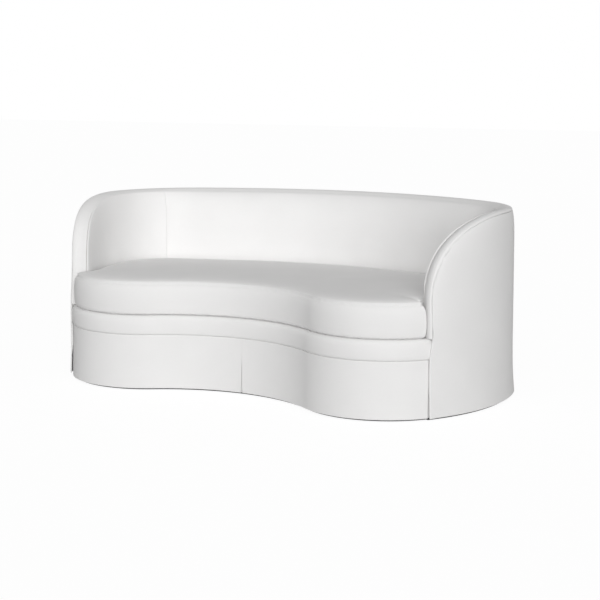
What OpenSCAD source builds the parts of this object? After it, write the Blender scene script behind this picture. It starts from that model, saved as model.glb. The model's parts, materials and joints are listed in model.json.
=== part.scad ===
// Curved settee with a bean-shaped plan, a loose seat cushion and a skirt to the floor.
// Millimetres, +Z up, front towards -Y. The origin is on the floor, under the middle.
// Left and right are as seen from the front. A place along the plan is its length along
// the front outline from the front centre, and its depth is measured inwards from there.

/* [Plan] */
// Radius of the hollow in the front
hollow_radius = 705; // [690:5:730]
// Turn of half the hollow, in degrees
hollow_turn = 34.5; // [33:0.5:36]
// Radius of each rounded front lobe
lobe_radius = 377; // [365:1:395]
// Turn of each lobe, in degrees
lobe_turn = 92.5; // [91:0.5:94]
// Radius of each side
side_radius = 778; // [750:2:820]
// Turn of each side, in degrees
side_turn = 38; // [36:0.5:40]
// Radius of each rear corner
corner_radius = 470; // [450:5:490]
// Turn of each rear corner, in degrees
corner_turn = 54.5; // [52:0.5:56]
// Length of half the front, along the curve, up to an arm's front edge
front_half = 1013; // [980:1:1030]

/* [Heights] */
// Height of the seams along the back's top
back_height = 827; // [780:1:880]
// Height of the deck that the cushion lies on
deck_height = 336; // [320:1:360]
// Height of the seam between the front border and the skirt
skirt_seam = 250; // [235:1:262]
// Height of the hem above the floor
hem_gap = 8; // [5:1:15]
// Height of the side of the cushion between its seams
cushion_side = 134; // [110:1:150]
// Rise of the cushion's middle above its top seam
cushion_crown = 25; // [20:1:45]

/* [Arms] */
// Height at which an arm's front starts to curve backwards
arm_start = 462; // [430:1:490]
// Distance along the side over which an arm rises to the back's height
arm_reach = 521; // [480:1:560]
// Fullness of the arm's curve, 2 is an ellipse
arm_fullness = 2.5; // [2.2:0.1:2.8]
// Distance from the skirt's end back to the arm's front seam
arm_setback = 6; // [4:1:10]

/* [Walls] */
// Distance that the outside covers stand proud of the front outline
wall_proud = 13; // [10:1:16]
// Depth of the inside cover of the back from the plan's outline
wall_depth = 146; // [132:1:155]
// Depth of the inside covers of the arms from the plan's outline
arm_depth = 90; // [70:1:100]
// Distance from an arm's front at which its padding starts to thicken towards the back
thicken_from = 620; // [500:10:650]
// Distance from an arm's front at which the padding has the back's full depth
thicken_to = 1150; // [850:10:1200]
// Width of the band along the top, between its seams
band_width = 77; // [70:1:84]
// Rise of the band's padding above its outer seam
band_crown = 6; // [3:1:9]
// Thickness of the band under its inner seam
band_pad = 12; // [8:1:15]
// Drop of the band from its outer seam to its inner seam
band_drop = 10; // [6:1:14]
// Height of the rounded roll below the band's inner seam
roll_drop = 160; // [130:5:180]
// Place of the seams between the back and the arms, from an arm's front
inside_seam = 795; // [740:5:810]
// Place of the rear pleats, from an arm's front
rear_pleat = 705; // [680:5:730]

/* [Covers] */
// Thickness of the lined outside covers and the skirt
cover_t = 2.5; // [2:0.1:3]
// Thickness of the inside covers
lining_t = 2; // [1.5:0.1:2.5]
// Outward lean of the skirt at its hem
skirt_flare = 5; // [3:1:8]
// Outward lean of the outside covers at the rear pleats
pleat_flare = 12; // [6:1:14]
// Width of a pleat's opening at the hem
pleat_gap = 8; // [5:1:12]
// Height up to which a pleat opens
pleat_height = 150; // [120:5:200]
// Width of the flap behind a pleat
flap_width = 150; // [120:5:180]
// Bulge of the front border
border_bulge = 5; // [3:1:8]
// Depth of the front border along its top
border_depth = 60; // [50:1:70]
// Thickness of the stiff board behind the outside padding
board_t = 2; // [1.5:0.5:2.5]
// Thickness of the dust cover
dust_t = 1; // [0.8:0.1:1.2]

/* [Seat] */
// Depth of the cushion's front behind the outline
cushion_inset = 8; // [6:1:14]
// Draw of the cushion's long edges between its corners
cushion_draw = 4; // [2:1:6]
// Bulge of the cushion's sides
cushion_swell = 4; // [2:0.5:5]
// Radius of the cushion's edges at its seams
cushion_round = 12; // [8:1:16]
// Distance from its edge over which the cushion's crown rises
crown_reach = 90; // [25:5:110]
// Thickness of the cushion's cover with its wrap
cushion_wrap = 8; // [7:1:10]
// Thickness of the deck's cloth
deck_cloth_t = 2; // [1.5:0.1:2.5]
// Thickness of the deck's pad
deck_pad_t = 27; // [24:1:30]
// Thickness of the hessian over the springs
hessian_t = 1.5; // [1:0.1:2]
// Length of the cushion's zip
zip_length = 700; // [500:10:800]
// Width of the zip's tape
zip_width = 28; // [20:1:32]
// Thickness of the zip's tape
zip_t = 1.4; // [1:0.1:1.6]
// Length of the zip's slider
slider_l = 16; // [10:1:20]
// Height of the zip's slider
slider_h = 10; // [6:1:14]
// Thickness of the zip's slider
slider_t = 1.2; // [0.8:0.1:1.4]

/* [Springs] */
// Number of seat springs
spring_count = 9; // [7:2:11]
// Distance between seat springs
spring_pitch = 140; // [110:5:145]
// Diameter of the spring wire
wire_d = 3.8; // [3:0.1:4]
// Width of a spring, between the middles of its bends
spring_width = 42; // [36:1:50]
// Length of one wave of a spring
spring_wave = 70; // [60:1:80]
// Length of a spring clip
clip_length = 16; // [12:1:18]
// Thickness of a spring clip
clip_t = 1; // [0.8:0.1:1.2]
// Number of webbing straps behind each half of the back
strap_pairs = 5; // [3:1:5]
// Width of a webbing strap
strap_width = 60; // [40:1:70]
// Thickness of a webbing strap
strap_t = 2.5; // [2:0.1:3]

/* [Frame] */
// Depth of the frame's outer face behind the outline
frame_depth = 10; // [9.5:0.5:12]
// Thickness of rails and studs
rail_t = 20; // [17:0.5:21]
// Thickness of the flat plates
plate_t = 18; // [15:1:20]
// Width of the base plates
base_plate_w = 56; // [52:1:62]
// Height of the base plates' underside
base_height = 100; // [85:1:115]
// Width of a stud or post
stud_w = 40; // [30:1:50]
// Distance between the studs along the back
stud_pitch = 360; // [300:10:400]
// Distance of an arm's stud behind the arm's front
arm_stud_at = 300; // [260:10:320]
// Width of a stretcher
stretcher_w = 26; // [20:1:32]
// Height of a stretcher
stretcher_h = 90; // [70:1:110]
// Distance from the centre to the outer stretchers
stretcher_at = 450; // [400:10:500]
// Leg of a corner block
block_leg = 60; // [40:1:70]
// Height of a corner block
block_h = 40; // [30:1:60]

/* [Feet] */
// Width of a foot
foot_w = 48; // [40:1:50]
// Distance of the front feet from an arm's front, along the plan
front_foot_inset = 315; // [250:5:400]
// Distance of the rear feet from the back centre, along the plan
rear_foot_inset = 990; // [900:5:1020]
// Height of a glide
glide_h = 5; // [3:1:8]
// Diameter of a glide
glide_d = 32; // [24:1:38]
// Diameter of a foot's bolt
bolt_d = 8; // [6:1:10]
// Length of a foot's bolt
bolt_length = 70; // [60:1:80]

/* [Clearances] */
// Gap between layers that lie on each other
layer_gap = 0.3; // [0.2:0.05:0.4]
// Gap between the edges of flat layers and the curved pieces round them
edge_gap = 2.4; // [2.2:0.1:2.8]
// Gap between the stiff boards and the frame
board_gap = 2.5; // [1:0.5:3]
// Gap between the cushion and the arms and back
cushion_gap = 5; // [4.5:0.1:7]
// Gap between a foot and the dust cover round it
foot_gap = 2; // [1:0.5:2]
// Gap round a bolt in its hole
bolt_gap = 0.3; // [0.2:0.05:0.5]

/* [Hidden] */

// The plan is a chain of arcs, each [radius, turn], where a turn above 0 bends inwards.
// A joint between arcs is [x, y, heading, length so far].
arcs = [[hollow_radius, -hollow_turn], [lobe_radius, lobe_turn],
    [side_radius, side_turn], [corner_radius, corner_turn]];
function arc_end(p, a) = let (g = sign(a[1]), h = p[2] + a[1])
    [p[0] + g * a[0] * (sin(h) - sin(p[2])), p[1] + g * a[0] * (cos(p[2]) - cos(h)),
     h, p[3] + a[0] * abs(a[1]) * PI / 180];
function chain(p, k = 0) = k == len(arcs) ? [p] : concat([p], chain(arc_end(p, arcs[k]), k + 1));
// The back is one more arc, which closes the plan on its centre line
joints = chain([0, 0, 0, 0]);
last_joint = joints[len(arcs)];
back_arc = [last_joint[0] / sin(last_joint[2]), 180 - last_joint[2]];
all_arcs = concat(arcs, [back_arc]);
back_at = arc_end(last_joint, back_arc)[3];
facet_length = 70;
facet = back_at / round(back_at / facet_length);

// Point on half of the plan at a length along it and a depth, with the front centre at zero
function arc_of(u, k = 0) = k < len(arcs) && u >= joints[k + 1][3] ? arc_of(u, k + 1) : k;
function plan_point(u, d) = let (k = arc_of(u), a = all_arcs[k], p = joints[k], g = sign(a[1]),
    h = p[2] + g * (u - p[3]) / a[0] * 180 / PI, r = a[0] - g * d)
    [p[0] + g * (r * sin(h) - a[0] * sin(p[2])), p[1] + g * (a[0] * cos(p[2]) - r * cos(h))];
// The origin lies midway between the skirt's foremost hem and the back
front_reach = min([for (k = [0 : floor(front_half / facet)]) plan_point(k * facet, -skirt_flare)[1]]);
front_y = -(front_reach + plan_point(back_at, -wall_proud)[1]) / 2;
function half_point(u, d) = plan_point(u, d) + [0, front_y];

// The same on the whole plan, mirrored past either centre line
function flip(p) = [-p[0], p[1]];
function round_pt(u, d) = u < 0 ? flip(half_point(-u, d))
    : u > back_at ? flip(half_point(2 * back_at - u, d)) : half_point(u, d);
// Apart from the cushion, all pieces follow the same flats between stations on the curve
function mix(a, b, t) = a + (b - a) * t;
function pt(u, d) = let (k = floor(u / facet))
    mix(round_pt(k * facet, d), round_pt((k + 1) * facet, d), u / facet - k);
function heading(u) = let (a = u > back_at ? 2 * back_at - u : abs(u), k = arc_of(a),
    h = joints[k][2] + sign(all_arcs[k][1]) * (a - joints[k][3]) / all_arcs[k][0] * 180 / PI)
    u < 0 ? -h : u > back_at ? 360 - h : h;

near_station = 0.02;
function stations(a, b) = concat([a],
    [for (k = [ceil(a / facet + near_station) : floor(b / facet - near_station)]) k * facet], [b]);
function flat_strip(a, b, d1, d2) = let (u = stations(a, b), n = len(u) - 1)
    concat([for (v = u) pt(v, d1)], [for (i = [n : -1 : 0]) pt(u[i], d2)]);
// Outline of a flat layer inside the front, the arms' fronts and the walls, whose depth is a
// function of the distance from an arm's front
function floor_outline(front_d, end_gap, wall_d) = let (e = front_half - end_gap)
    concat([for (u = stations(-e, e)) pt(u, front_d)],
        [for (u = stations(e, 2 * back_at - e)) pt(u, wall_d(u - front_half))]);
// Place on the front or back half of the plan at an x and a depth, found by halving
function front_place(x, d, lo = 0, hi = front_half, k = 24) = let (m = (lo + hi) / 2)
    k == 0 ? m : pt(m, d)[0] < x ? front_place(x, d, m, hi, k - 1) : front_place(x, d, lo, m, k - 1);
function back_place(x, d, lo = front_half + arm_reach, hi = back_at, k = 24) =
    let (m = (lo + hi) / 2)
    k == 0 ? m : pt(m, d)[0] > x ? back_place(x, d, m, hi, k - 1) : back_place(x, d, lo, m, k - 1);
function y_front(x, d) = pt(front_place(abs(x), d), d)[1];
function y_back(x, d) = pt(back_place(abs(x), d), d)[1];

// A closed sheet between an outer grid and an inner grid of points, rows running upwards
module sheet(outer, inner) {
    n = len(outer) - 1;
    m = len(outer[0]) - 1;
    size = (n + 1) * (m + 1);
    function a(i, j) = i * (m + 1) + j;
    function b(i, j) = size + a(i, j);
    skins = [for (i = [0 : n - 1], j = [0 : m - 1], k = [0 : 3])
        k == 0 ? [a(i, j), a(i, j + 1), a(i + 1, j + 1)]
        : k == 1 ? [a(i, j), a(i + 1, j + 1), a(i + 1, j)]
        : k == 2 ? [b(i, j), b(i + 1, j + 1), b(i, j + 1)]
        : [b(i, j), b(i + 1, j), b(i + 1, j + 1)]];
    rims = [for (i = [0 : n - 1], k = [0 : 3])
        k == 0 ? [a(i, 0), a(i + 1, 0), b(i + 1, 0)]
        : k == 1 ? [a(i, 0), b(i + 1, 0), b(i, 0)]
        : k == 2 ? [a(i + 1, m), a(i, m), b(i, m)]
        : [a(i + 1, m), b(i, m), b(i + 1, m)]];
    ends = [for (j = [0 : m - 1], k = [0 : 3])
        k == 0 ? [a(0, j + 1), a(0, j), b(0, j)]
        : k == 1 ? [a(0, j + 1), b(0, j), b(0, j + 1)]
        : k == 2 ? [a(n, j), a(n, j + 1), b(n, j + 1)]
        : [a(n, j), b(n, j + 1), b(n, j)]];
    polyhedron([for (g = [outer, inner], row = g, p = row) p], concat(skins, rims, ends));
}

// The line of the outer seam: [distance from the arm's front, height, and the direction
// that the seam's edge faces]. An arm rises on a full ellipse and runs level from there.
arm_rise = back_height - arm_start;
foot_height = deck_height + layer_gap;
function arm_step(f) = let (x = pow(cos(f), 2 / arm_fullness), z = pow(sin(f), 2 / arm_fullness),
    gx = pow(x, arm_fullness - 1) / arm_reach, gz = pow(z, arm_fullness - 1) / arm_rise,
    g = norm([gx, gz]))
    [arm_setback + arm_reach * (1 - x), arm_start + arm_rise * z, -gx / g, gz / g];
arm_top_at = arm_setback + arm_reach;
// The arm's curve has points at the stations, with more between them where it turns fast
arm_turn = 12;
function arm_angle(s) = acos(pow(1 - (s - arm_setback) / arm_reach, arm_fullness / 2));
arm_angles = [for (u = stations(front_half + arm_setback, front_half + arm_top_at))
    arm_angle(min(u - front_half, arm_top_at))];
arm_arc = concat([arm_step(0)], [for (i = [1 : len(arm_angles) - 1])
    let (a = arm_angles[i - 1], b = arm_angles[i], n = max(1, round((b - a) / arm_turn)))
    for (k = [1 : n]) arm_step(mix(a, b, k / n))]);
function level(a, b) = [for (u = stations(front_half + a, front_half + b))
    [u - front_half, back_height, 0, 1]];
function tail(v) = [for (i = [1 : len(v) - 1]) v[i]];
function arm_line(last) = concat([[arm_setback, foot_height, -1, 0]], arm_arc,
    tail(level(arm_top_at, last)));
far_side = 2 * (back_at - front_half);
function back_line(first) = level(first, far_side - first);
function on_wall(s, z, d) = let (p = pt(front_half + s, d)) [p[0], p[1], z];
function seam_point(c, d, h) = on_wall(c[0] + c[2] * h, c[1] + c[3] * h, d);

// Depths of the layers of a wall, from the outside in
seam_depth = band_width - wall_proud;
wadding_depth = -wall_proud + cover_t + layer_gap;
board_depth = frame_depth - board_t - board_gap;
inner_frame = frame_depth + rail_t + layer_gap;
webbing_depth = inner_frame + rail_t + 2 * layer_gap;
foam_depth = webbing_depth + strap_t + layer_gap;
under_band = band_drop + band_pad;
frame_top = under_band + layer_gap;
full_roll = band_drop + roll_drop;
roll_start = seam_depth + layer_gap;
roll_end = arm_setback + full_roll;
// Depth of the inside covers below their roll, at a distance from the nearer arm's front
function full_depth(s) = let (near = min(s, far_side - s),
    t = min(1, max(0, (near - thicken_from) / (thicken_to - thicken_from))))
    mix(arm_depth, wall_depth, t * t * (3 - 2 * t));
// The same low on the wall, where an arm's roll lies in plan
function wall_at(s) = let (t = min(1, max(0, (roll_end - s) / roll_drop)))
    s < roll_end ? mix(roll_start, arm_depth, sqrt(1 - t * t)) : full_depth(s);

// Heights of the layers under the deck
pad_top = deck_height - deck_cloth_t - layer_gap;
hessian_top = pad_top - deck_pad_t - layer_gap;
wire_top = hessian_top - hessian_t - layer_gap;
rail_top = wire_top - wire_d - layer_gap;
base_top = base_height + plate_t;
on_base = base_top + layer_gap;
lining_bottom = hessian_top + layer_gap;

// Seat cushion: its rim follows the front, the arms' fronts and the walls.
// A rim point is [place, depth] at an inset from the cushion's largest outline.
cushion_bottom = deck_height + layer_gap;
cushion_seam = cushion_bottom + cushion_side;
cushion_end = front_half - cushion_gap;
rim_front = [17, 9];
rim_ear = [2, 1];
rim_wall = [25, 12];
function wall_side(u) = wall_at(u - front_half) + cushion_gap
    + cushion_draw * pow(sin(90 * (u - cushion_end) / (back_at - cushion_end)), 2);
function rim_half(e, q) = let (end = cushion_end - e, near = cushion_inset + e)
    concat(
        [for (i = [0 : rim_front[q]]) let (t = i / rim_front[q])
            [end * t, near + cushion_draw * pow(cos(90 * t), 2)]],
        [for (i = [1 : rim_ear[q]]) [end, mix(near, wall_side(end) + e, i / rim_ear[q])]],
        [for (i = [1 : rim_wall[q]]) let (u = mix(end, back_at, i / rim_wall[q]))
            [u, wall_side(u) + e]]);
function rim(e, z, q) = let (half = rim_half(e, q), n = len(half) - 1)
    concat([for (v = half) let (p = round_pt(v[0], v[1])) [p[0], p[1], z]],
        [for (i = [n - 1 : -1 : 1]) let (p = round_pt(half[i][0], half[i][1])) [-p[0], p[1], z]]);
cushion_middle = [0, (y_front(0, cushion_inset) + y_back(0, wall_depth)) / 2];
function shrunk(ring, t, z) = [for (p = ring)
    [p[0] * t, mix(cushion_middle[1], p[1], t), z]];
// A solid from stacked rings, closed by a point below and a point above
module ringed(rings, low, high) {
    n = len(rings[0]);
    last = len(rings) - 1;
    function r(k, i) = k * n + i % n;
    polyhedron(concat([for (ring = rings, p = ring) p], [low, high]), concat(
        [for (k = [0 : last - 1], i = [0 : n - 1], w = [0 : 1])
            w == 0 ? [r(k, i), r(k + 1, i), r(k + 1, i + 1)]
            : [r(k, i), r(k + 1, i + 1), r(k, i + 1)]],
        [for (i = [0 : n - 1]) [r(0, i), r(0, i + 1), n * (last + 1)]],
        [for (i = [0 : n - 1]) [r(last, i + 1), r(last, i), n * (last + 1) + 1]]));
}
function crown_at(e) = cushion_crown * (1 - exp(-e / crown_reach));
shoulder = 90;
middle_share = 0.5;
module cushion_form() {
    low = rim(shoulder, cushion_bottom, 0);
    top = rim(shoulder, cushion_seam + crown_at(shoulder), 0);
    ringed([shrunk(low, middle_share, cushion_bottom), low,
        rim(cushion_round, cushion_bottom, 0),
        rim(cushion_round / 6, cushion_bottom + cushion_round * 2 / 3, 0),
        rim(-cushion_swell / 2, mix(cushion_bottom, cushion_seam, 0.5), 0),
        rim(cushion_round / 12, cushion_seam - cushion_round / 2, 0),
        rim(cushion_round, cushion_seam + crown_at(cushion_round), 0),
        rim(shoulder * 0.4, cushion_seam + crown_at(shoulder * 0.4), 0), top,
        shrunk(top, middle_share, cushion_seam + cushion_crown * 0.96)],
        [cushion_middle[0], cushion_middle[1], cushion_bottom],
        [cushion_middle[0], cushion_middle[1], cushion_seam + cushion_crown]);
}
// The foam inside, at an inset from the cover's outside
module cushion_filling(e) {
    top = rim(shoulder, cushion_seam + crown_at(shoulder) - e, 1);
    low = rim(shoulder, cushion_bottom + e, 1);
    side = e + cushion_swell;
    ringed([low, rim(cushion_round + e, cushion_bottom + e, 1),
        rim(side, cushion_bottom + e + cushion_round, 1),
        rim(side, cushion_seam - e - cushion_round, 1),
        rim(cushion_round + 2 * e, cushion_seam - e, 1), top],
        [cushion_middle[0], cushion_middle[1], cushion_bottom + e],
        [cushion_middle[0], cushion_middle[1], cushion_seam + cushion_crown - 2 * e]);
}
module seat_cushion_cover() {
    color("white") difference() {
        cushion_form();
        cushion_filling(cushion_wrap);
    }
}
module seat_cushion_core() {
    color("lightyellow") cushion_filling(cushion_wrap + layer_gap);
}
// The zip lies flat on the cushion's rear side, clear of the back
zip_middle = mix(cushion_bottom, cushion_seam, 0.5);
function zip_depth(u) = wall_side(min(u, 2 * back_at - u)) - cushion_swell / 2 - 2 * layer_gap;
function zip_grid(t) = [for (u = stations(back_at - zip_length / 2, back_at + zip_length / 2))
    [for (v = [-0.5, 0.5]) on_wall(u - front_half, zip_middle + v * zip_width, zip_depth(u) - t)]];
module cushion_zip() { color("gainsboro") sheet(zip_grid(zip_t), zip_grid(0)); }
module zip_slider() {
    u = back_at + zip_length / 2 - slider_l;
    p = pt(u, zip_depth(u) - zip_t - layer_gap - slider_t / 2);
    color("silver") translate([p[0], p[1], zip_middle]) rotate([0, 0, heading(u)])
        cube([slider_l, slider_t, slider_h], center = true);
}

// Inside covers and their foam roll over from the band's inner seam and run down
roll_rows = 4;
drop_rows = 2;
function roll_turn(k) = 90 * min(k, roll_rows) / roll_rows;
function lining_column(c, foot, cover, h0) = [for (k = [0 : roll_rows + drop_rows])
    let (f = roll_turn(k), h = -mix(h0, full_roll, 1 - cos(f)), t = max(0, k - roll_rows) / drop_rows,
        s = mix(c[0] + c[2] * h, foot, t), z = mix(c[1] + c[3] * h, lining_bottom, t))
    on_wall(s, z, mix(roll_start, full_depth(s) - cover, sin(f)))];
// Back of the foam: a short step under the band, then flat on the webbing
function foam_back_column(c, foot) = [for (k = [0 : roll_rows + drop_rows])
    let (h = -mix(frame_top + layer_gap, full_roll, max(0, k - 1) / (roll_rows - 1)),
        g = k < roll_rows ? h : -full_roll, t = max(0, k - roll_rows) / drop_rows,
        s = c[0] + c[2] * g, z = c[1] + c[3] * g)
    on_wall(mix(s, foot, t), mix(z, lining_bottom, t), k == 0 ? roll_start : foam_depth)];
// Columns of an arm draw together towards its front on their way down
foot_spread = 0.15;
function column_order(s, z) = s - arm_setback + foot_spread * (z - foot_height);
function foot(c, arm) = arm ? mix(roll_end, inside_seam - layer_gap / 2,
    column_order(c[0], c[1]) / column_order(inside_seam - layer_gap / 2, back_height)) : c[0];
arm_lining = arm_line(inside_seam - layer_gap / 2);
back_lining = back_line(inside_seam + layer_gap / 2);
module lining(line, arm) {
    sheet([for (c = line) lining_column(c, foot(c, arm), 0, band_drop)],
        [for (c = line) lining_column(c, foot(c, arm), lining_t, band_drop + lining_t)]);
}
module lining_foam(line, arm) {
    cover = lining_t + layer_gap;
    sheet([for (c = line) lining_column(c, foot(c, arm), cover, band_drop + cover)],
        [for (c = line) foam_back_column(c, foot(c, arm))]);
}
module inside_back() { color("white") lining(back_lining, false); }
module inside_arm() { color("white") lining(arm_lining, true); }
module back_foam() { color("lightyellow") lining_foam(back_lining, false); }
module arm_foam() { color("lightyellow") lining_foam(arm_lining, true); }
webbing_lap = 20;
module strap(u) {
    function grid(d) = [for (v = stations(u - strap_width / 2, u + strap_width / 2))
        [for (z = [rail_top - webbing_lap, back_height - frame_top]) on_wall(v - front_half, z, d)]];
    sheet(grid(webbing_depth), grid(webbing_depth + strap_t));
}
// The straps pass between the springs
module back_webbing() {
    color("tan") for (i = [0 : strap_pairs - 1]) {
        u = back_place((i + 0.5) * spring_pitch, webbing_depth);
        strap(u);
        left() strap(u);
    }
}

// The band along the top and down the arms' fronts, crowned between its seams
band_steps = 6;
function band_top(c) = [for (k = [0 : band_steps]) let (t = k / band_steps)
    seam_point(c, mix(-wall_proud, seam_depth, t),
        -layer_gap - (band_drop - layer_gap) * t * t
        + (band_crown + band_drop / 6) * sin(180 * pow(t, 0.8)))];
function band_bottom(c) = [for (k = [0 : band_steps]) let (t = max(0, k - 1) / (band_steps - 1))
    seam_point(c, mix(wadding_depth, seam_depth, t), k == 0 ? -layer_gap : -under_band)];
module band(line) {
    sheet([for (c = line) band_top(c)], [for (c = line) band_bottom(c)]);
}
module top_band_back() { color("white") band(back_lining); }
module top_band_arm() { color("white") band(arm_lining); }

// Outside covers hang from the outer seam to the hem and lean out at the rear pleats
lean_reach = 170;
function lean(s, z) = let (near = max(0, 1 - abs(s - rear_pleat) / lean_reach))
    pleat_flare * near * near * pow(max(0, 1 - (z - hem_gap) / skirt_seam), 2);
cover_levels = [0, 0.45, 1];
function slit(z) = pleat_gap / 2 * max(0, 1 - (z - hem_gap) / pleat_height);
function cover_column(s, top, edge, d) = concat(
    [for (k = cover_levels) let (z = mix(hem_gap, skirt_seam, k), v = s + edge * slit(z))
        on_wall(v, z, d - lean(s, z))],
    [for (k = [1 : 2]) on_wall(s, mix(skirt_seam, top, k / 2), d)]);
cover_edge = 2 * layer_gap;
outside_line = concat(arm_arc, tail(level(arm_top_at, rear_pleat - layer_gap / 2)));
module outside_arm() {
    n = len(outside_line) - 1;
    function column(i, d) = let (c = outside_line[i])
        cover_column(c[0] - c[2] * cover_edge, c[1] - c[3] * cover_edge, i == n ? -1 : 0, d);
    // The front edge leans back from the skirt's end to the arm's seam
    front_edge = concat([for (k = cover_levels) [0, mix(hem_gap, skirt_seam, k)]],
        [for (z = [deck_height, arm_start]) [arm_setback + cover_edge, z]]);
    function grid(d) = concat([[for (p = front_edge) on_wall(p[0], p[1], d)]],
        [for (i = [1 : n]) column(i, d)]);
    color("white") sheet(grid(-wall_proud), grid(-wall_proud + cover_t));
}
module outside_back() {
    line = back_line(rear_pleat + layer_gap / 2);
    n = len(line) - 1;
    function mirror_lean(s) = s > far_side / 2 ? far_side - s : s;
    function column(i, d) = let (s = line[i][0], e = i == 0 ? 1 : i == n ? -1 : 0)
        concat([for (k = cover_levels) let (z = mix(hem_gap, skirt_seam, k))
                on_wall(s + e * slit(z), z, d - lean(mirror_lean(s), z))],
            [for (k = [1 : 2]) on_wall(s, mix(skirt_seam, back_height - cover_edge, k / 2), d)]);
    color("white") sheet([for (i = [0 : n]) column(i, -wall_proud)],
        [for (i = [0 : n]) column(i, -wall_proud + cover_t)]);
}

// Padding and stiff board between the outside covers and the frame
padding_lift = 12;
function layer_column(c, d) = [on_wall(c[0] - c[2] * frame_top, skirt_seam + padding_lift, d),
    seam_point(c, d, -frame_top)];
module layer(line, d1, d2) {
    sheet([for (c = line) layer_column(c, d1)], [for (c = line) layer_column(c, d2)]);
}
module arm_layer(d1, d2) { layer(outside_line, d1, d2); }
module back_layer(d1, d2) { layer(back_line(rear_pleat + layer_gap / 2), d1, d2); }
module outer_wadding_arm() { color("honeydew") arm_layer(wadding_depth, board_depth - layer_gap); }
module outer_wadding_back() { color("honeydew") back_layer(wadding_depth, board_depth - layer_gap); }
module outer_board_arm() { color("burlywood") arm_layer(board_depth, board_depth + board_t); }
module outer_board_back() { color("burlywood") back_layer(board_depth, board_depth + board_t); }

// Front border: a padded band over the front rail, between the skirt and the deck
border_end = front_half + arm_setback + under_band - layer_gap;
border_bottom = skirt_seam + layer_gap;
border_inner = frame_depth - edge_gap;
// Its face in shares of the bulge and the height, then its back as [depth, height]
border_shape = [[0, 0], [-0.7, 0.12], [-1, 0.45], [-0.6, 0.78], [1.4, 0.95], [4, 1]];
border_face = concat([for (v = border_shape)
    [v[0] * border_bulge, mix(border_bottom, deck_height, v[1])]], [[border_depth, deck_height]]);
border_back = concat(
    [for (t = [0, 0.3, 0.65, 1]) [border_inner, mix(border_bottom, lining_bottom, t)]],
    [for (t = [0.1, 0.3, 1]) [mix(border_inner, border_depth, t), lining_bottom]]);
module front_border() {
    function column(u, shape) = [for (v = shape) concat(pt(u, v[0]), [v[1]])];
    u = stations(-border_end, border_end);
    color("white") sheet([for (v = u) column(v, border_face)], [for (v = u) column(v, border_back)]);
}

// Skirt panels hang from the border's seam. They part at the centre pleat and at the arms.
skirt_levels = [0, 0.25, 0.55, 1];
module front_skirt() {
    u = stations(layer_gap, front_half - layer_gap);
    n = len(u) - 1;
    function column(i, d) = [for (k = skirt_levels) let (z = mix(hem_gap, skirt_seam, k),
            e = i == 0 ? 1 : i == n ? -1 : 0, p = pt(u[i] + e * slit(z), d - skirt_flare * (1 - k)))
        [p[0], p[1], z]];
    color("white") sheet([for (i = [0 : n]) column(i, 0)], [for (i = [0 : n]) column(i, cover_t)]);
}
// A flap closes each pleat from behind
flap_depth = cover_t + layer_gap;
module flap(u, d) {
    line = stations(u - flap_width / 2, u + flap_width / 2);
    function grid(e) = [for (v = line) [for (z = [hem_gap, skirt_seam - layer_gap])
        on_wall(v - front_half, z, e)]];
    color("whitesmoke") sheet(grid(d), grid(d + cover_t));
}
module pleat_flap_centre() { flap(0, flap_depth); }
module pleat_flap_front() { flap(front_half, flap_depth); }
module pleat_flap_rear() { flap(front_half + rear_pleat, wadding_depth); }
tack_height = 14;
module skirt_tack_strip() {
    e = front_half - layer_gap;
    depth = flap_depth + cover_t + layer_gap;
    color("burlywood") translate([0, 0, skirt_seam - tack_height]) linear_extrude(tack_height)
        polygon(flat_strip(-e, e, depth, frame_depth - layer_gap));
}

// Deck layers, flat over the springs and on under the rolled fronts of the arms
deck_end = edge_gap - roll_end;
module deck_layer(z, t) {
    translate([0, 0, z]) linear_extrude(t)
        polygon(floor_outline(border_depth + edge_gap, deck_end, function (s) full_depth(s) + edge_gap));
}
module deck_cloth() { color("white") deck_layer(deck_height - deck_cloth_t, deck_cloth_t); }
module deck_pad() { color("lightyellow") deck_layer(pad_top - deck_pad_t, deck_pad_t); }
module deck_hessian() { color("peru") deck_layer(hessian_top - hessian_t, hessian_t); }

// Wave springs run from the front rail to the back rail
function spring_x(i) = (i - (spring_count - 1) / 2) * spring_pitch;
// A wave has four bends, at these shares of its length
spring_bends = [1 / 6, 1 / 3, 2 / 3, 5 / 6];
function wave_path(x, y0, y1) = let (waves = round((y1 - y0) / spring_wave))
    concat([[x, y0]], [for (i = [0 : waves - 1], a = spring_bends)
        [x + spring_width / 2 * sign(0.5 - a), mix(y0, y1, (i + a) / waves)]], [[x, y1]]);
// Points beside a path, at a distance on its left, mitred at the bends
function unit(v) = v / norm(v);
function beside(path, w) = let (n = len(path) - 1) [for (i = [0 : n])
    let (a = unit(path[max(i, 1)] - path[max(i, 1) - 1]),
        b = unit(path[min(i + 1, n)] - path[min(i + 1, n) - 1]),
        m = [-a[1] - b[1], a[0] + b[0]])
    path[i] + m * w * 2 / (m * m)];
function reversed(v) = [for (i = [len(v) - 1 : -1 : 0]) v[i]];
front_clip_depth = frame_depth + rail_t / 2;
back_clip_depth = inner_frame + rail_t / 2;
module seat_springs() {
    color("gray") translate([0, 0, wire_top - wire_d]) linear_extrude(wire_d)
        for (i = [0 : spring_count - 1]) {
            path = wave_path(spring_x(i), y_front(spring_x(i), front_clip_depth),
                y_back(spring_x(i), back_clip_depth));
            polygon(concat(beside(path, -wire_d / 2), reversed(beside(path, wire_d / 2))));
        }
}
module spring_clips() {
    color("dimgray") for (i = [0 : spring_count - 1]) let (x = spring_x(i))
        for (y = [y_front(x, front_clip_depth), y_back(x, back_clip_depth)])
            translate([x, y, wire_top + layer_gap + clip_t / 2])
                cube([clip_length, clip_length, clip_t], center = true);
}

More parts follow.
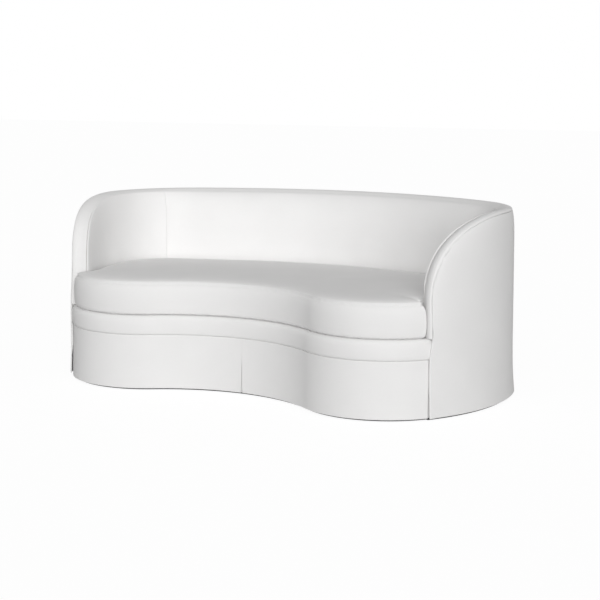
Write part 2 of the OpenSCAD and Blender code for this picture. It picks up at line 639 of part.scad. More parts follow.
// Seat rails stand on edge on the base plates
module upright_strip(a, b, d, z0, z1) {
    color("burlywood") translate([0, 0, z0]) linear_extrude(z1 - z0)
        polygon(flat_strip(a, b, d, d + rail_t));
}
side_rail_start = front_half + arm_setback;
rear_foot_at = back_at - rear_foot_inset;
// Distances from the rear feet to the joints of the rails and of the plates
rail_lap = 60;
plate_lap = 120;
rail_joint = rear_foot_at - rail_lap;
module seat_rail_front() {
    e = front_half + arm_setback + under_band - layer_gap;
    upright_strip(-e, e, frame_depth, on_base, rail_top);
}
module seat_rail_back() {
    e = rail_joint + layer_gap / 2;
    upright_strip(e, 2 * back_at - e, inner_frame, on_base, rail_top);
}
module seat_rail_side() {
    upright_strip(side_rail_start, rail_joint - layer_gap / 2, inner_frame, on_base, rail_top);
}
front_face = frame_depth + rail_t + edge_gap;
back_face = inner_frame + rail_t + edge_gap;
module stretcher(x) {
    h = stretcher_w / 2;
    color("burlywood") translate([0, 0, on_base]) linear_extrude(stretcher_h)
        polygon([[x - h, y_front(x - h, front_face)], [x + h, y_front(x + h, front_face)],
            [x + h, y_back(x + h, back_face)], [x - h, y_back(x - h, back_face)]]);
}
module stretcher_left() { stretcher(-stretcher_at); }
module stretcher_centre() { stretcher(0); }
module stretcher_right() { stretcher(stretcher_at); }
module corner_blocks() {
    color("burlywood") translate([0, 0, on_base]) linear_extrude(block_h)
        for (x = [-stretcher_at, 0, stretcher_at], side = [-1, 1]) {
            a = x + side * (stretcher_w / 2 + layer_gap);
            b = a + side * block_leg;
            for (y = [[y_front(a, front_face), y_front(b, front_face), 1],
                    [y_back(a, back_face), y_back(b, back_face), -1]])
                polygon([[a, y[0]], [b, y[1]], [a, y[0] + y[2] * block_leg]]);
        }
}

// Flat plates below the rails and along the back's top
module flat_plate(a, b, w, z) {
    color("wheat") translate([0, 0, z]) linear_extrude(plate_t)
        polygon(flat_strip(a, b, frame_depth, frame_depth + w));
}
foot_depth = frame_depth + base_plate_w / 2;
front_foot_at = front_half - front_foot_inset;
foot_places = [0, front_foot_at, -front_foot_at, rear_foot_at, 2 * back_at - rear_foot_at, back_at];
module at_feet() {
    for (u = foot_places) translate(concat(pt(u, foot_depth), [0])) rotate([0, 0, heading(u)])
        children();
}
module drilled_plate(a, b) {
    difference() {
        flat_plate(a, b, base_plate_w, base_height);
        at_feet() translate([0, 0, base_height - 1])
            cylinder(h = plate_t + 2, d = bolt_d + 2 * bolt_gap, $fn = 24);
    }
}
plate_gap = layer_gap / 2;
plate_joint = rear_foot_at - plate_lap;
module base_plate_front() { drilled_plate(-front_half + plate_gap, front_half - plate_gap); }
module base_plate_back() { drilled_plate(plate_joint + plate_gap, 2 * back_at - plate_joint - plate_gap); }
module base_plate_side() {
    flat_plate(front_half + plate_gap, plate_joint - plate_gap, base_plate_w, base_height);
}
top_plate_w = 2 * rail_t + layer_gap;
top_plate_z = back_height - frame_top - plate_t;
module top_plate() {
    e = front_half + arm_top_at + layer_gap;
    flat_plate(e, 2 * back_at - e, top_plate_w, top_plate_z);
}
// A laminated rail follows the arm's curve from its post up to the top plate
arm_rail_top = frame_top + layer_gap;
arm_rail_low = arm_rail_top + plate_t;
module arm_rail() {
    function grid(h) = [for (c = arm_arc)
        [for (d = [frame_depth, frame_depth + top_plate_w]) seam_point(c, d, -h)]];
    color("wheat") sheet(grid(arm_rail_top), grid(arm_rail_low));
}
post_front = arm_setback + frame_top;
module arm_post() {
    function grid(d) = [for (u = stations(front_half + post_front, front_half + post_front + stud_w))
        [for (z = [on_base, arm_start - layer_gap]) on_wall(u - front_half, z, d)]];
    color("burlywood") sheet(grid(frame_depth), grid(frame_depth + rail_t));
}
module stud(s, top) {
    u = stations(front_half + s - stud_w / 2, front_half + s + stud_w / 2);
    function grid(d) = [for (v = u) [for (z = [on_base, top(v - front_half)])
        on_wall(v - front_half, z, d)]];
    sheet(grid(frame_depth), grid(frame_depth + rail_t));
}
module back_studs() {
    color("burlywood") for (k = [-2 : 2])
        stud(back_at - front_half + k * stud_pitch, function (s) top_plate_z - layer_gap);
}
// Height of the arm rail's underside at a distance from the arm's front, along its flats
function under_rail(s, i = 1) = let (h = arm_rail_low,
    a = arm_arc[i - 1], b = arm_arc[i], sa = a[0] - a[2] * h, sb = b[0] - b[2] * h)
    s < sb || i == len(arm_arc) - 1 ? mix(a[1] - a[3] * h, b[1] - b[3] * h, (s - sa) / (sb - sa))
    : under_rail(s, i + 1);
module arm_stud() {
    color("burlywood") stud(arm_stud_at, function (s) under_rail(s) - 2 * layer_gap);
}

// Feet with their bolts and glides
hole_spare = 4;
bolt_sink = 0.5;
glide_taper = 4;
foot_hole = bolt_length - plate_t + hole_spare;
module block_feet() {
    color("saddlebrown") at_feet() difference() {
        translate([-foot_w / 2, -foot_w / 2, glide_h + layer_gap])
            cube([foot_w, foot_w, base_height - glide_h - 2 * layer_gap]);
        translate([0, 0, base_height - foot_hole])
            cylinder(h = foot_hole + 1, d = bolt_d + 2 * bolt_gap, $fn = 24);
    }
}
module foot_glides() {
    color("dimgray") at_feet() cylinder(h = glide_h, d1 = glide_d - glide_taper, d2 = glide_d, $fn = 24);
}
module foot_bolts() {
    color("silver") at_feet() translate([0, 0, base_top - bolt_length])
        cylinder(h = bolt_length - bolt_sink, d = bolt_d, $fn = 24);
}
module dust_cover() {
    hole = foot_w + 2 * foot_gap;
    color("black") translate([0, 0, base_height - layer_gap - dust_t]) linear_extrude(dust_t)
        difference() {
            polygon(floor_outline(frame_depth, -arm_setback, function (s) frame_depth));
            for (u = foot_places) translate(pt(u, foot_depth)) rotate(heading(u))
                square(hole, center = true);
        }
}

module left() { mirror([1, 0, 0]) children(); }

seat_cushion_cover();
seat_cushion_core();
cushion_zip();
zip_slider();
inside_back();
left() inside_arm();  // inside_arm_left
inside_arm();  // inside_arm_right
back_foam();
left() arm_foam();  // arm_foam_left
arm_foam();  // arm_foam_right
back_webbing();
top_band_back();
left() top_band_arm();  // top_band_left
top_band_arm();  // top_band_right
outside_back();
left() outside_arm();  // outside_arm_left
outside_arm();  // outside_arm_right
outer_wadding_back();
left() outer_wadding_arm();  // outer_wadding_left
outer_wadding_arm();  // outer_wadding_right
outer_board_back();
left() outer_board_arm();  // outer_board_left
outer_board_arm();  // outer_board_right
front_border();
left() front_skirt();  // front_skirt_left
front_skirt();  // front_skirt_right
pleat_flap_centre();
left() pleat_flap_front();  // pleat_flap_front_left
pleat_flap_front();  // pleat_flap_front_right
left() pleat_flap_rear();  // pleat_flap_rear_left
pleat_flap_rear();  // pleat_flap_rear_right
skirt_tack_strip();
deck_cloth();
deck_pad();
deck_hessian();
seat_springs();
spring_clips();
seat_rail_front();
seat_rail_back();
left() seat_rail_side();  // seat_rail_left
seat_rail_side();  // seat_rail_right
stretcher_left();
stretcher_centre();
stretcher_right();
corner_blocks();
base_plate_front();
base_plate_back();
left() base_plate_side();  // base_plate_left
base_plate_side();  // base_plate_right
top_plate();
left() arm_rail();  // arm_rail_left
arm_rail();  // arm_rail_right
left() arm_post();  // arm_post_left
arm_post();  // arm_post_right
back_studs();
union() { arm_stud(); left() arm_stud(); }  // arm_studs
block_feet();
foot_glides();
foot_bolts();
dust_cover();
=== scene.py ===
import bmesh
import bpy
import json
import math
import numpy as np
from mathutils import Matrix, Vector, noise
from mathutils.geometry import delaunay_2d_cdt


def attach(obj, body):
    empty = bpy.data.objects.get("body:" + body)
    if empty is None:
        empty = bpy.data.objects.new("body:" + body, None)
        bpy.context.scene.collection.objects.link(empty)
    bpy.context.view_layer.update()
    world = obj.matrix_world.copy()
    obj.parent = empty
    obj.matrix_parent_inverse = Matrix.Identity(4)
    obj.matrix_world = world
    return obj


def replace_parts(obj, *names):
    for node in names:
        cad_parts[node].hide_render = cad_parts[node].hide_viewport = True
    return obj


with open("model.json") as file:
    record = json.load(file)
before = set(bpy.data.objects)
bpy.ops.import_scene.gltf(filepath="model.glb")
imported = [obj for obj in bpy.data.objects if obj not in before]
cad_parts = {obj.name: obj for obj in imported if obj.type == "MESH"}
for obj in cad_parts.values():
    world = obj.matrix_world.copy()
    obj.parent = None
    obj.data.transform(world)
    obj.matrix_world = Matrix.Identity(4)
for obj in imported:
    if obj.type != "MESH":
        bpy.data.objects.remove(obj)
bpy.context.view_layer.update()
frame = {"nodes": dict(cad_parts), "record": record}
scene = bpy.context.scene
scene.view_settings.view_transform = "Standard"

viewpoint = {
    "place": (3.4783, -5.8590, 1.4078),
    "azimuth": 30.4,
    "pitch": 6.38,
    "lens": 88.78,
    "shiftY": -0.1,
}
lighting = {
    "ambient": 0.38,
    "keyStrength": 2.4,
    "keyAzimuth": 33.0,
    "keyHeight": 12.0,
    "keySpread": 45.0,
    "floorGlow": 0.93,
    "floorColor": 0.50,
    "floorShade": 0.10,
    "floorHalf": 30.0,
    "hemShade": 0.12,
    "hemInset": 0.012,
}


def placed(name, data):
    thing = bpy.data.objects.new(name, data)
    scene.collection.objects.link(thing)
    return thing


# A new node with links or constants on its sockets
def addNode(tree, kind, inputs=(), **settings):
    node = tree.nodes.new(kind)
    for key, value in settings.items():
        setattr(node, key, value)
    for key, value in dict(inputs).items():
        if hasattr(value, "is_linked"):
            tree.links.new(value, node.inputs[key])
        else:
            node.inputs[key].default_value = value
    return node


# Ends a tree with one shader that lights the room and one that the camera, metal and glass see
def mixSeen(tree, kind, lit, seen):
    path = addNode(tree, "ShaderNodeLightPath")
    ray = path.outputs["Is Camera Ray"]
    for other in ("Is Glossy Ray", "Is Transmission Ray"):
        most = addNode(tree, "ShaderNodeMath", {0: ray, 1: path.outputs[other]}, operation="MAXIMUM")
        ray = most.outputs[0]
    mixed = addNode(tree, "ShaderNodeMixShader", {0: ray, 1: lit.outputs[0], 2: seen.outputs[0]})
    addNode(tree, kind, {0: mixed.outputs[0]})


def makeCamera():
    data = bpy.data.cameras.new("photoView")
    data.lens = viewpoint["lens"]
    data.shift_y = viewpoint["shiftY"]
    data.clip_end = 60
    camera = placed("photoView", data)
    camera.location = viewpoint["place"]
    camera.rotation_euler = (math.radians(90 - viewpoint["pitch"]), 0, math.radians(viewpoint["azimuth"]))
    scene.camera = camera


def makeLights():
    sun = bpy.data.lights.new("softKey", "SUN")
    sun.energy = lighting["keyStrength"]
    sun.angle = math.radians(lighting["keySpread"])
    lamp = placed("softKey", sun)
    lamp.rotation_euler = (math.radians(90 - lighting["keyHeight"]), 0, math.radians(lighting["keyAzimuth"]))
    world = bpy.data.worlds.new("studio")
    scene.world = world
    world.use_nodes = True
    tree = world.node_tree
    tree.nodes.clear()
    lit, seen = (addNode(tree, "ShaderNodeBackground", {"Color": (1, 1, 1, 1), "Strength": strength})
                 for strength in (lighting["ambient"], 1.0))
    mixSeen(tree, "ShaderNodeOutputWorld", lit, seen)


def makeFloor():
    data, r = bpy.data.meshes.new("studioFloor"), lighting["floorHalf"]
    data.from_pydata([(-r, -r, 0), (r, -r, 0), (r, r, 0), (-r, r, 0)], [], [(0, 1, 2, 3)])
    paint = bpy.data.materials.new("palePaper")
    paint.use_nodes = True
    tree = paint.node_tree
    tree.nodes.clear()
    lit, shade = (addNode(tree, "ShaderNodeBsdfDiffuse", {"Color": (*[lighting[key]] * 3, 1)})
                  for key in ("floorColor", "floorShade"))
    glow = addNode(tree, "ShaderNodeEmission", {"Strength": lighting["floorGlow"]})
    seen = addNode(tree, "ShaderNodeAddShader", {0: shade.outputs[0], 1: glow.outputs[0]})
    mixSeen(tree, "ShaderNodeOutputMaterial", lit, seen)
    data.materials.append(paint)
    placed("studioFloor", data)


makeCamera()
makeLights()
makeFloor()
print("camera, lights and floor are in place")


# A material; its methods add nodes and return their first outputs
class Paint:
    def __init__(self, name, roughness, **sockets):
        self.material = bpy.data.materials.new(name)
        self.material.use_nodes = True
        self.tree = self.material.node_tree
        self.shader = self.tree.nodes["Principled BSDF"]
        self.shader.inputs["Roughness"].default_value = roughness
        for socket, value in sockets.items():
            self.shader.inputs[socket.replace("_", " ")].default_value = value

    def add(self, kind, inputs=(), **settings):
        return addNode(self.tree, "ShaderNode" + kind, inputs, **settings).outputs

    def math(self, operation, a, b=0.5):
        return self.add("Math", {0: a, 1: b}, operation=operation)[0]

    def noise(self, vector, size, detail=2.0):
        return self.add("TexNoise", {"Scale": 1 / size, "Detail": detail, "Vector": vector})["Fac"]

    def mean(self, a, b, share):
        return self.math("ADD", self.math("MULTIPLY", a, 1 - share), self.math("MULTIPLY", b, share))

    def tint(self, factor, dark, light):
        ramp = self.add("ValToRGB", {0: factor})[0]
        for element, color, place in zip(ramp.node.color_ramp.elements, (dark, light), (0.3, 0.7)):
            element.color, element.position = (*color, 1), place
        self.tree.links.new(ramp, self.shader.inputs["Base Color"])

    def bump(self, height, strength, distance):
        made = self.add("Bump", {"Strength": strength, "Distance": distance, "Height": height})
        self.tree.links.new(made[0], self.shader.inputs["Normal"])


# Plain weave: yarns pass over and under each other, on the piece's own UV map in metres
def wovenCloth(name, color, yarn, depth, mottle=0.015, roughness=0.92, sheen=0.03):
    p = Paint(name, roughness, Sheen_Weight=sheen, Sheen_Roughness=0.6, Specular_IOR_Level=0.15)
    grid = p.add("UVMap")[0]
    parts = p.add("SeparateXYZ", {0: grid})
    slub = p.noise(grid, yarn * 9, 3.0)
    waves = [p.math("SINE", p.math("ADD", p.math("MULTIPLY", parts[k], math.pi / yarn),
                                   p.math("MULTIPLY", slub, 2.0))) for k in (0, 1)]
    threads = p.math("ADD", p.math("MULTIPLY", p.math("MULTIPLY", *waves), 0.35), p.math("MULTIPLY", slub, 0.8))
    cloud = p.noise(grid, 0.22, 3.0)
    dark = [c * (1 - mottle * 1.6) for c in color]
    light = [min(1.0, c * (1 + mottle)) for c in color]
    p.tint(p.mean(threads, cloud, 0.7), dark, light)
    p.bump(threads, 0.5, depth)
    return p.material


# Grain drawn out along one direction, or plies stacked in Z when plies gives their thickness
def grainedWood(name, dark, light, along=(1, 0, 0), ring=0.012, roughness=0.6, plies=0.0):
    p = Paint(name, roughness, Specular_IOR_Level=0.35)
    place = p.add("TexCoord")["Object"]
    stretched = p.add("Mapping", {"Scale": [0.06 if a else 1.0 for a in along], "Vector": place})[0]
    grain = p.noise(stretched, ring, 5.0)
    pores = p.noise(stretched, ring / 9)
    shade = p.mean(grain, pores, 0.25)
    if plies:
        height = p.add("SeparateXYZ", {0: place})[2]
        layer = p.math("SINE", p.math("MULTIPLY", height, math.pi / plies))
        shade = p.math("ADD", p.math("MULTIPLY", shade, 0.7), p.math("MULTIPLY", layer, 0.12))
    p.tint(shade, dark, light)
    p.bump(pores, 0.3, 0.0004)
    return p.material


# Foam, wadding, board and moulded finishes: a fine irregular grain in all directions
def cellular(name, dark, light, cell, depth, roughness=0.9, **sockets):
    p = Paint(name, roughness, **sockets)
    place = p.add("TexCoord")["Object"]
    grain = p.noise(place, cell, 4.0)
    p.tint(p.mean(grain, p.noise(place, cell * 14), 0.5), dark, light)
    p.bump(grain, 0.4, depth)
    return p.material


clothColor = {"cover": (0.86, 0.855, 0.85), "dust": (0.03, 0.03, 0.032), "tape": (0.80, 0.79, 0.76)}
coverCloth = wovenCloth("whiteCotton", clothColor["cover"], 0.0011, 0.00025)
liningCloth = wovenCloth("whiteDeckCloth", (0.82, 0.815, 0.80), 0.0008, 0.0002)
hessianCloth = wovenCloth("brownHessian", (0.52, 0.40, 0.24), 0.0030, 0.0012, 0.18, 1.0, 0.0)
strapCloth = wovenCloth("brownWebbing", (0.45, 0.33, 0.20), 0.0024, 0.0008, 0.12, 0.9, 0.0)
dustCloth = wovenCloth("blackDustCloth", clothColor["dust"], 0.0010, 0.0002, 0.3, 0.95, 0.0)
tapeCloth = wovenCloth("paleZipTape", clothColor["tape"], 0.0006, 0.0002, 0.03)
foamSkin = cellular("paleFoam", (0.80, 0.73, 0.50), (0.92, 0.87, 0.68), 0.0022, 0.0008)
waddingSkin = cellular("whiteWadding", (0.86, 0.86, 0.84), (0.95, 0.95, 0.94), 0.004, 0.003)
boardSkin = cellular("brownFibreBoard", (0.52, 0.41, 0.27), (0.68, 0.57, 0.41), 0.003, 0.0004, 0.85)
steelSkin = cellular("oiledSteel", (0.36, 0.36, 0.38), (0.48, 0.48, 0.50), 0.004, 0.0001, 0.38, Metallic=1.0)
zipMetal = cellular("satinZipMetal", (0.66, 0.66, 0.66), (0.76, 0.76, 0.76), 0.002, 0.00005, 0.35, Metallic=1.0)
glideSkin = cellular("blackGlide", (0.08, 0.08, 0.08), (0.12, 0.12, 0.12), 0.001, 0.0001, 0.55)
plankAlongX = grainedWood("planedBeechX", (0.50, 0.34, 0.19), (0.70, 0.53, 0.35), (1, 0, 0))
plankAlongY = grainedWood("planedBeechY", (0.50, 0.34, 0.19), (0.70, 0.53, 0.35), (0, 1, 0))
plankUpright = grainedWood("planedBeechZ", (0.50, 0.34, 0.19), (0.70, 0.53, 0.35), (0, 0, 1))
plywoodSkin = grainedWood("sandedPlywood", (0.60, 0.46, 0.29), (0.79, 0.66, 0.48), (1, 1, 0), 0.010, 0.7, 0.003)
footSkin = grainedWood("darkStainedFoot", (0.10, 0.055, 0.03), (0.20, 0.12, 0.07), (0, 0, 1), 0.010, 0.35)
print("materials are made")

planShape = {
    "arcs": ((0.705, -34.5), (0.377, 92.5), (0.778, 38.0), (0.470, 54.5)),  # radius, turn in degrees
    "frontHalf": 1.013,  # from the front centre to an arm's front
    "footDepth": 0.038,  # from the plan to the feet
}
frontHalf = planShape["frontHalf"]
frontY = frame["record"]["mounts"][0]["pos_m"][1] - planShape["footDepth"]


def planArcs():
    x = y = turned = at = 0.0
    rows = []
    for radius, degrees in planShape["arcs"]:
        side, turn = math.copysign(1, degrees), math.radians(degrees)
        rows.append((x, y, turned, at, radius, side))
        x += side * radius * (math.sin(turned + turn) - math.sin(turned))
        y += side * radius * (math.cos(turned) - math.cos(turned + turn))
        turned += turn
        at += radius * abs(turn)
    radius = x / math.sin(turned)  # one more arc closes the back on its centre line
    rows.append((x, y, turned, at, radius, 1.0))
    return np.array(rows).T, at + radius * (math.pi - turned)


(arcX, arcY, arcTurned, arcAt, arcRadius, arcSide), backAt = planArcs()
farSide = 2 * (backAt - frontHalf)


# Points at a length along the plan, from its front centre, and a depth inside it
def onPlan(u, d):
    u, d = np.broadcast_arrays(np.asarray(u, float), np.asarray(d, float))
    past = u > backAt
    v = np.where(past, 2 * backAt - u, np.abs(u))
    k = np.clip(np.searchsorted(arcAt, v, side="right") - 1, 0, len(arcAt) - 1)
    turned = arcTurned[k] + arcSide[k] * (v - arcAt[k]) / arcRadius[k]
    r = arcRadius[k] - arcSide[k] * d
    x = arcX[k] + arcSide[k] * (r * np.sin(turned) - arcRadius[k] * np.sin(arcTurned[k]))
    y = arcY[k] + arcSide[k] * (arcRadius[k] * np.cos(arcTurned[k]) - r * np.cos(turned))
    return np.stack([np.where((u < 0) | past, -x, x), y + frontY], -1)


# Points at a length along the plan, a height and a depth
def onCurve(u, z, d):
    u, z, d = np.broadcast_arrays(u, z, d)
    return np.concatenate([onPlan(u, d), z[..., None]], -1)


# The same at a distance behind the arm's front
def onWall(s, z, d):
    return onCurve(frontHalf + s, z, d)


def mix(a, b, t):
    return a + (b - a) * t


def smooth(a, b, x):
    t = np.clip((x - a) / (b - a), 0, 1)
    return t * t * (3 - 2 * t)


# Places along a length: close together near both ends, then a step apart
def spread(length, step, edges=(0, 0.0004, 0.001, 0.002, 0.0035, 0.006, 0.010)):
    near = [e for e in edges if e < length / 3]
    count = max(2, round((length - 2 * near[-1]) / step))
    inner = np.linspace(near[-1], length - near[-1], count + 1)
    return np.concatenate([near[:-1], inner, [length - e for e in near[-2::-1]]])


# How far a padded edge drops into its seam at a distance from it
def roundedEdge(distance, radius):
    q = np.clip(radius - distance, 0, radius)
    return radius - np.sqrt(np.maximum(radius ** 2 - q ** 2, 0))


armShape = {
    "setback": 0.006, "start": 0.462, "reach": 0.521, "fullness": 2.5,
    "top": 0.827, "foot": 0.3366, "insideSeam": 0.795, "rearPleat": 0.705,
}


# Places and heights of the seam up an arm's front and over to the level part
def armPath(foot=True):
    f = np.linspace(0, math.pi / 2, 900)
    x, z = (np.clip(g, 0, 1) ** (2 / armShape["fullness"]) for g in (np.cos(f), np.sin(f)))
    s = armShape["setback"] + armShape["reach"] * (1 - x)
    z = mix(armShape["start"], armShape["top"], z)
    if foot:
        s, z = np.concatenate([[s[0]], s]), np.concatenate([[armShape["foot"]], z])
    return s, z


# Height of the seam above a place on the wall
def armTop(s):
    x = 1 - np.clip((s - armShape["setback"]) / armShape["reach"], 0, 1)
    n = armShape["fullness"]
    return mix(armShape["start"], armShape["top"], np.maximum(1 - x ** n, 0) ** (1 / n))


# The line's points at even steps, each with the direction that its edge faces
def seamLine(s, z, step):
    along = np.concatenate([[0], np.cumsum(np.hypot(np.diff(s), np.diff(z)))])
    at, probe = spread(along[-1], step), 0.004

    def place(t):
        return np.interp(t, along, s), np.interp(t, along, z)
    a, b = place(np.clip(at - probe, 0, along[-1])), place(np.clip(at + probe, 0, along[-1]))
    ds, dz = b[0] - a[0], b[1] - a[1]
    size = np.hypot(ds, dz)
    ps, pz = place(at)
    return {"s": ps, "z": pz, "ns": -dz / size, "nz": ds / size, "at": at, "length": along[-1]}


def armLine(last, step=0.009):
    s, z = armPath()
    return seamLine(np.append(s, last), np.append(z, armShape["top"]), step)


def backLine(first, step=0.014):
    return seamLine(np.array([first, farSide - first]), np.full(2, armShape["top"]), step)


# Places and heights off the seam's line, along the edge's direction
def offLine(line, h):
    s, z, ns, nz = (line[k][:, None] for k in ("s", "z", "ns", "nz"))
    return s + ns * h, z + nz * h


def seamPoint(line, d, h):
    return onWall(*offLine(line, h), d)


def gridFaces(n, m, start=0, closed=False):
    i, j = np.meshgrid(np.arange(n - 1), np.arange(m if closed else m - 1), indexing="ij")
    k = (j + 1) % m
    return (start + np.stack([i * m + j, (i + 1) * m + j, (i + 1) * m + k, i * m + k], -1)).reshape(-1, 4)


# UV in metres: lengths along both directions of a grid of points
def surfaceLengths(grid):
    n, m = grid.shape[:2]
    across = np.linalg.norm(np.diff(grid, axis=1), axis=-1)
    along = np.linalg.norm(np.diff(grid[:, m // 2], axis=0), axis=-1)
    v = np.concatenate([np.zeros((n, 1)), np.cumsum(across, 1)], 1)
    u = np.concatenate([[0], np.cumsum(along)])[:, None] + np.zeros((1, m))
    return np.stack([u, v], -1)


def volumeOf(points, faces):
    total = 0.0
    for face in faces:
        a = points[face[0]]
        for b, c in zip(face[1:-1], face[2:]):
            total += float(np.dot(a, np.cross(points[b], points[c])))
    return total


# Puts a mesh in the scene as a piece of a body
def dressed(name, data, paint, body="settee_frame"):
    data.materials.clear()
    data.materials.append(paint)
    piece = placed(name, data)
    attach(piece, body)
    return piece


# A finished piece with smooth faces that point outwards
def meshPiece(name, points, faces, paint, body="settee_frame", uv=None, sharp=50.0):
    points = np.asarray(points, float).reshape(-1, 3)
    faces = [tuple(int(i) for i in face) for face in faces]
    if volumeOf(points, faces) < 0:
        faces = [face[::-1] for face in faces]
    data = bpy.data.meshes.new(name)
    data.from_pydata(points.tolist(), [], faces)
    data.validate()
    data.polygons.foreach_set("use_smooth", np.ones(len(data.polygons), bool))
    layer = data.uv_layers.new(name="clothGrid")
    corners = np.zeros(len(data.loops), np.int32)
    data.loops.foreach_get("vertex_index", corners)
    flat = points[:, :2] if uv is None else np.asarray(uv, float).reshape(-1, 2)
    layer.data.foreach_set("uv", flat[corners].astype(np.float32).ravel())
    data.set_sharp_from_angle(angle=math.radians(sharp))
    data.update()
    return dressed(name, data, paint, body)


# A thin closed sheet between two grids of points of the same shape
def sheetPiece(name, outer, inner, paint, **rest):
    n, m = outer.shape[:2]
    size = n * m
    rim = [i * m for i in range(n)] + [(n - 1) * m + j for j in range(1, m)] \
        + [i * m + m - 1 for i in range(n - 2, -1, -1)] + list(range(m - 2, 0, -1))
    faces = gridFaces(n, m).tolist() + gridFaces(n, m, size)[:, ::-1].tolist()
    faces += [(b, a, a + size, b + size) for a, b in zip(rim, rim[1:] + rim[:1])]
    uv = surfaceLengths(outer)
    return meshPiece(name, np.concatenate([outer.reshape(-1, 3), inner.reshape(-1, 3)]), faces, paint,
                     uv=np.concatenate([uv, uv]), **rest)


# A closed pad through a row of closed sections, capped at both ends
def tubePiece(name, sections, paint, **rest):
    n, m = sections.shape[:2]
    faces = gridFaces(n, m, closed=True).tolist()
    faces += [list(range(m)), [(n - 1) * m + j for j in range(m)][::-1]]
    uv = surfaceLengths(np.concatenate([sections, sections[:, :1]], 1))[:, :-1]
    return meshPiece(name, sections, faces, paint, uv=uv, **rest)


# Joins pieces made with the same paint into one
def joined(name, parts):
    work = bmesh.new()
    for part in parts:
        work.from_mesh(part.data)
    parts[0].data.name = parts[0].name = name
    work.to_mesh(parts[0].data)
    work.free()
    for part in parts[1:]:
        bpy.data.objects.remove(part)
    return parts[0]


def kept(points):
    return points


def mirrored(points):
    return points * np.array([-1, 1, 1])


bothSides = (("left", mirrored), ("right", kept))


# The padding under the outside covers swells away from the outer seam, above the cushion's foot
swellShape = {"rise": 0.0100, "reach": 0.034, "from": 0.330, "to": 0.520}


def drawnIn(near, z):
    w = swellShape
    return w["rise"] * np.exp(-near / w["reach"]) * smooth(w["from"], w["to"], z)


# Distance of places on the wall from the outer seam
def toOuterSeam(place, z, shift=0.0):
    edgeS, edgeZ = armPath(False)
    near = np.full(np.broadcast(place, z).shape, 9.0)
    for k in range(0, len(edgeS), 3):
        near = np.minimum(near, np.hypot(place - edgeS[k] - shift, z - edgeZ[k] + shift))
    return near


bandShape = {
    "outer": -0.0126, "inner": 0.0636, "drop": 0.0097, "crown": 0.0078, "lean": 0.8,
    "edges": (0.0052, 0.0042), "joint": 0.0016, "pad": 0.0216, "innerBack": -0.0058, "steps": 40,
    "sink": 0.0003, "lip": 0.0064, "padInner": 0.030,
}


def bandSections(line):
    b = bandShape
    t = 0.5 - 0.5 * np.cos(np.linspace(0, math.pi, b["steps"] + 1))
    outer = b["outer"] + drawnIn(0.0, line["z"])[:, None]
    width = b["inner"] - b["outer"]
    rise = b["crown"] * np.sin(math.pi * t ** b["lean"]) - b["drop"] * t ** 2
    rise -= roundedEdge(width * t, b["edges"][0]) + roundedEdge(width * (1 - t), b["edges"][1])
    toJoint = np.minimum(line["length"] - line["at"], 9.0 if line["s"][0] < 0.1 else line["at"])
    dips = roundedEdge(toJoint, b["joint"])[:, None]
    top = seamPoint(line, mix(outer, b["inner"], t[None]), rise[None] - b["sink"] - dips)
    back = outer - b["outer"] + b["innerBack"]
    low = seamPoint(line, np.concatenate([0 * back + b["inner"] - 0.001, 0 * back + b["padInner"], back, back], 1),
                    -np.array([b["pad"], b["pad"], b["pad"], b["lip"]]))
    return np.concatenate([top, low], 1)


halfSeam = 0.00015


def makeBands():
    back = tubePiece("bandAlongBack", bandSections(backLine(armShape["insideSeam"] + halfSeam)), coverCloth)
    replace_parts(back, "top_band_back")
    sections = bandSections(armLine(armShape["insideSeam"] - halfSeam))
    for side, turn in bothSides:
        piece = tubePiece(f"bandOnArm_{side}", turn(sections), coverCloth)
        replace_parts(piece, f"top_band_{side}")


liningShape = {
    "start": 0.0645, "drop": 0.010, "roll": 0.170, "depth": 0.146, "armDepth": 0.090, "bottom": 0.3067,
    "thick": 0.002, "thicken": (0.620, 1.150),
    "puff": 0.010, "puffIn": 0.006, "puffReach": 0.050, "puffFrom": (0.490, 0.570),
    "edge": 0.0036, "joint": 0.0022, "footSpread": 0.15, "rollSteps": 30, "dropSteps": 12,
}


# Depth of the inside covers below their roll, at a distance from the nearer arm's front
def fullDepth(s):
    g = liningShape
    return mix(g["armDepth"], g["depth"], smooth(*g["thicken"], np.minimum(s, farSide - s)))


# The same low on the wall, where an arm's roll lies in plan
def wallAt(s):
    g = liningShape
    t = np.clip((armShape["setback"] + g["roll"] - s) / (g["roll"] - g["drop"]), 0, 1)
    return np.where(t > 0, mix(g["start"], g["armDepth"], np.sqrt(1 - t * t)), fullDepth(s))


# Where the columns of a cover end below the deck; an arm's draw together towards its front
def footPlace(line, arm):
    if not arm:
        return line["s"]
    g, start = liningShape, armShape["setback"]
    order = line["s"] - start + g["footSpread"] * (line["z"] - armShape["foot"])
    return mix(start + g["roll"], line["s"][-1], order / order[-1])


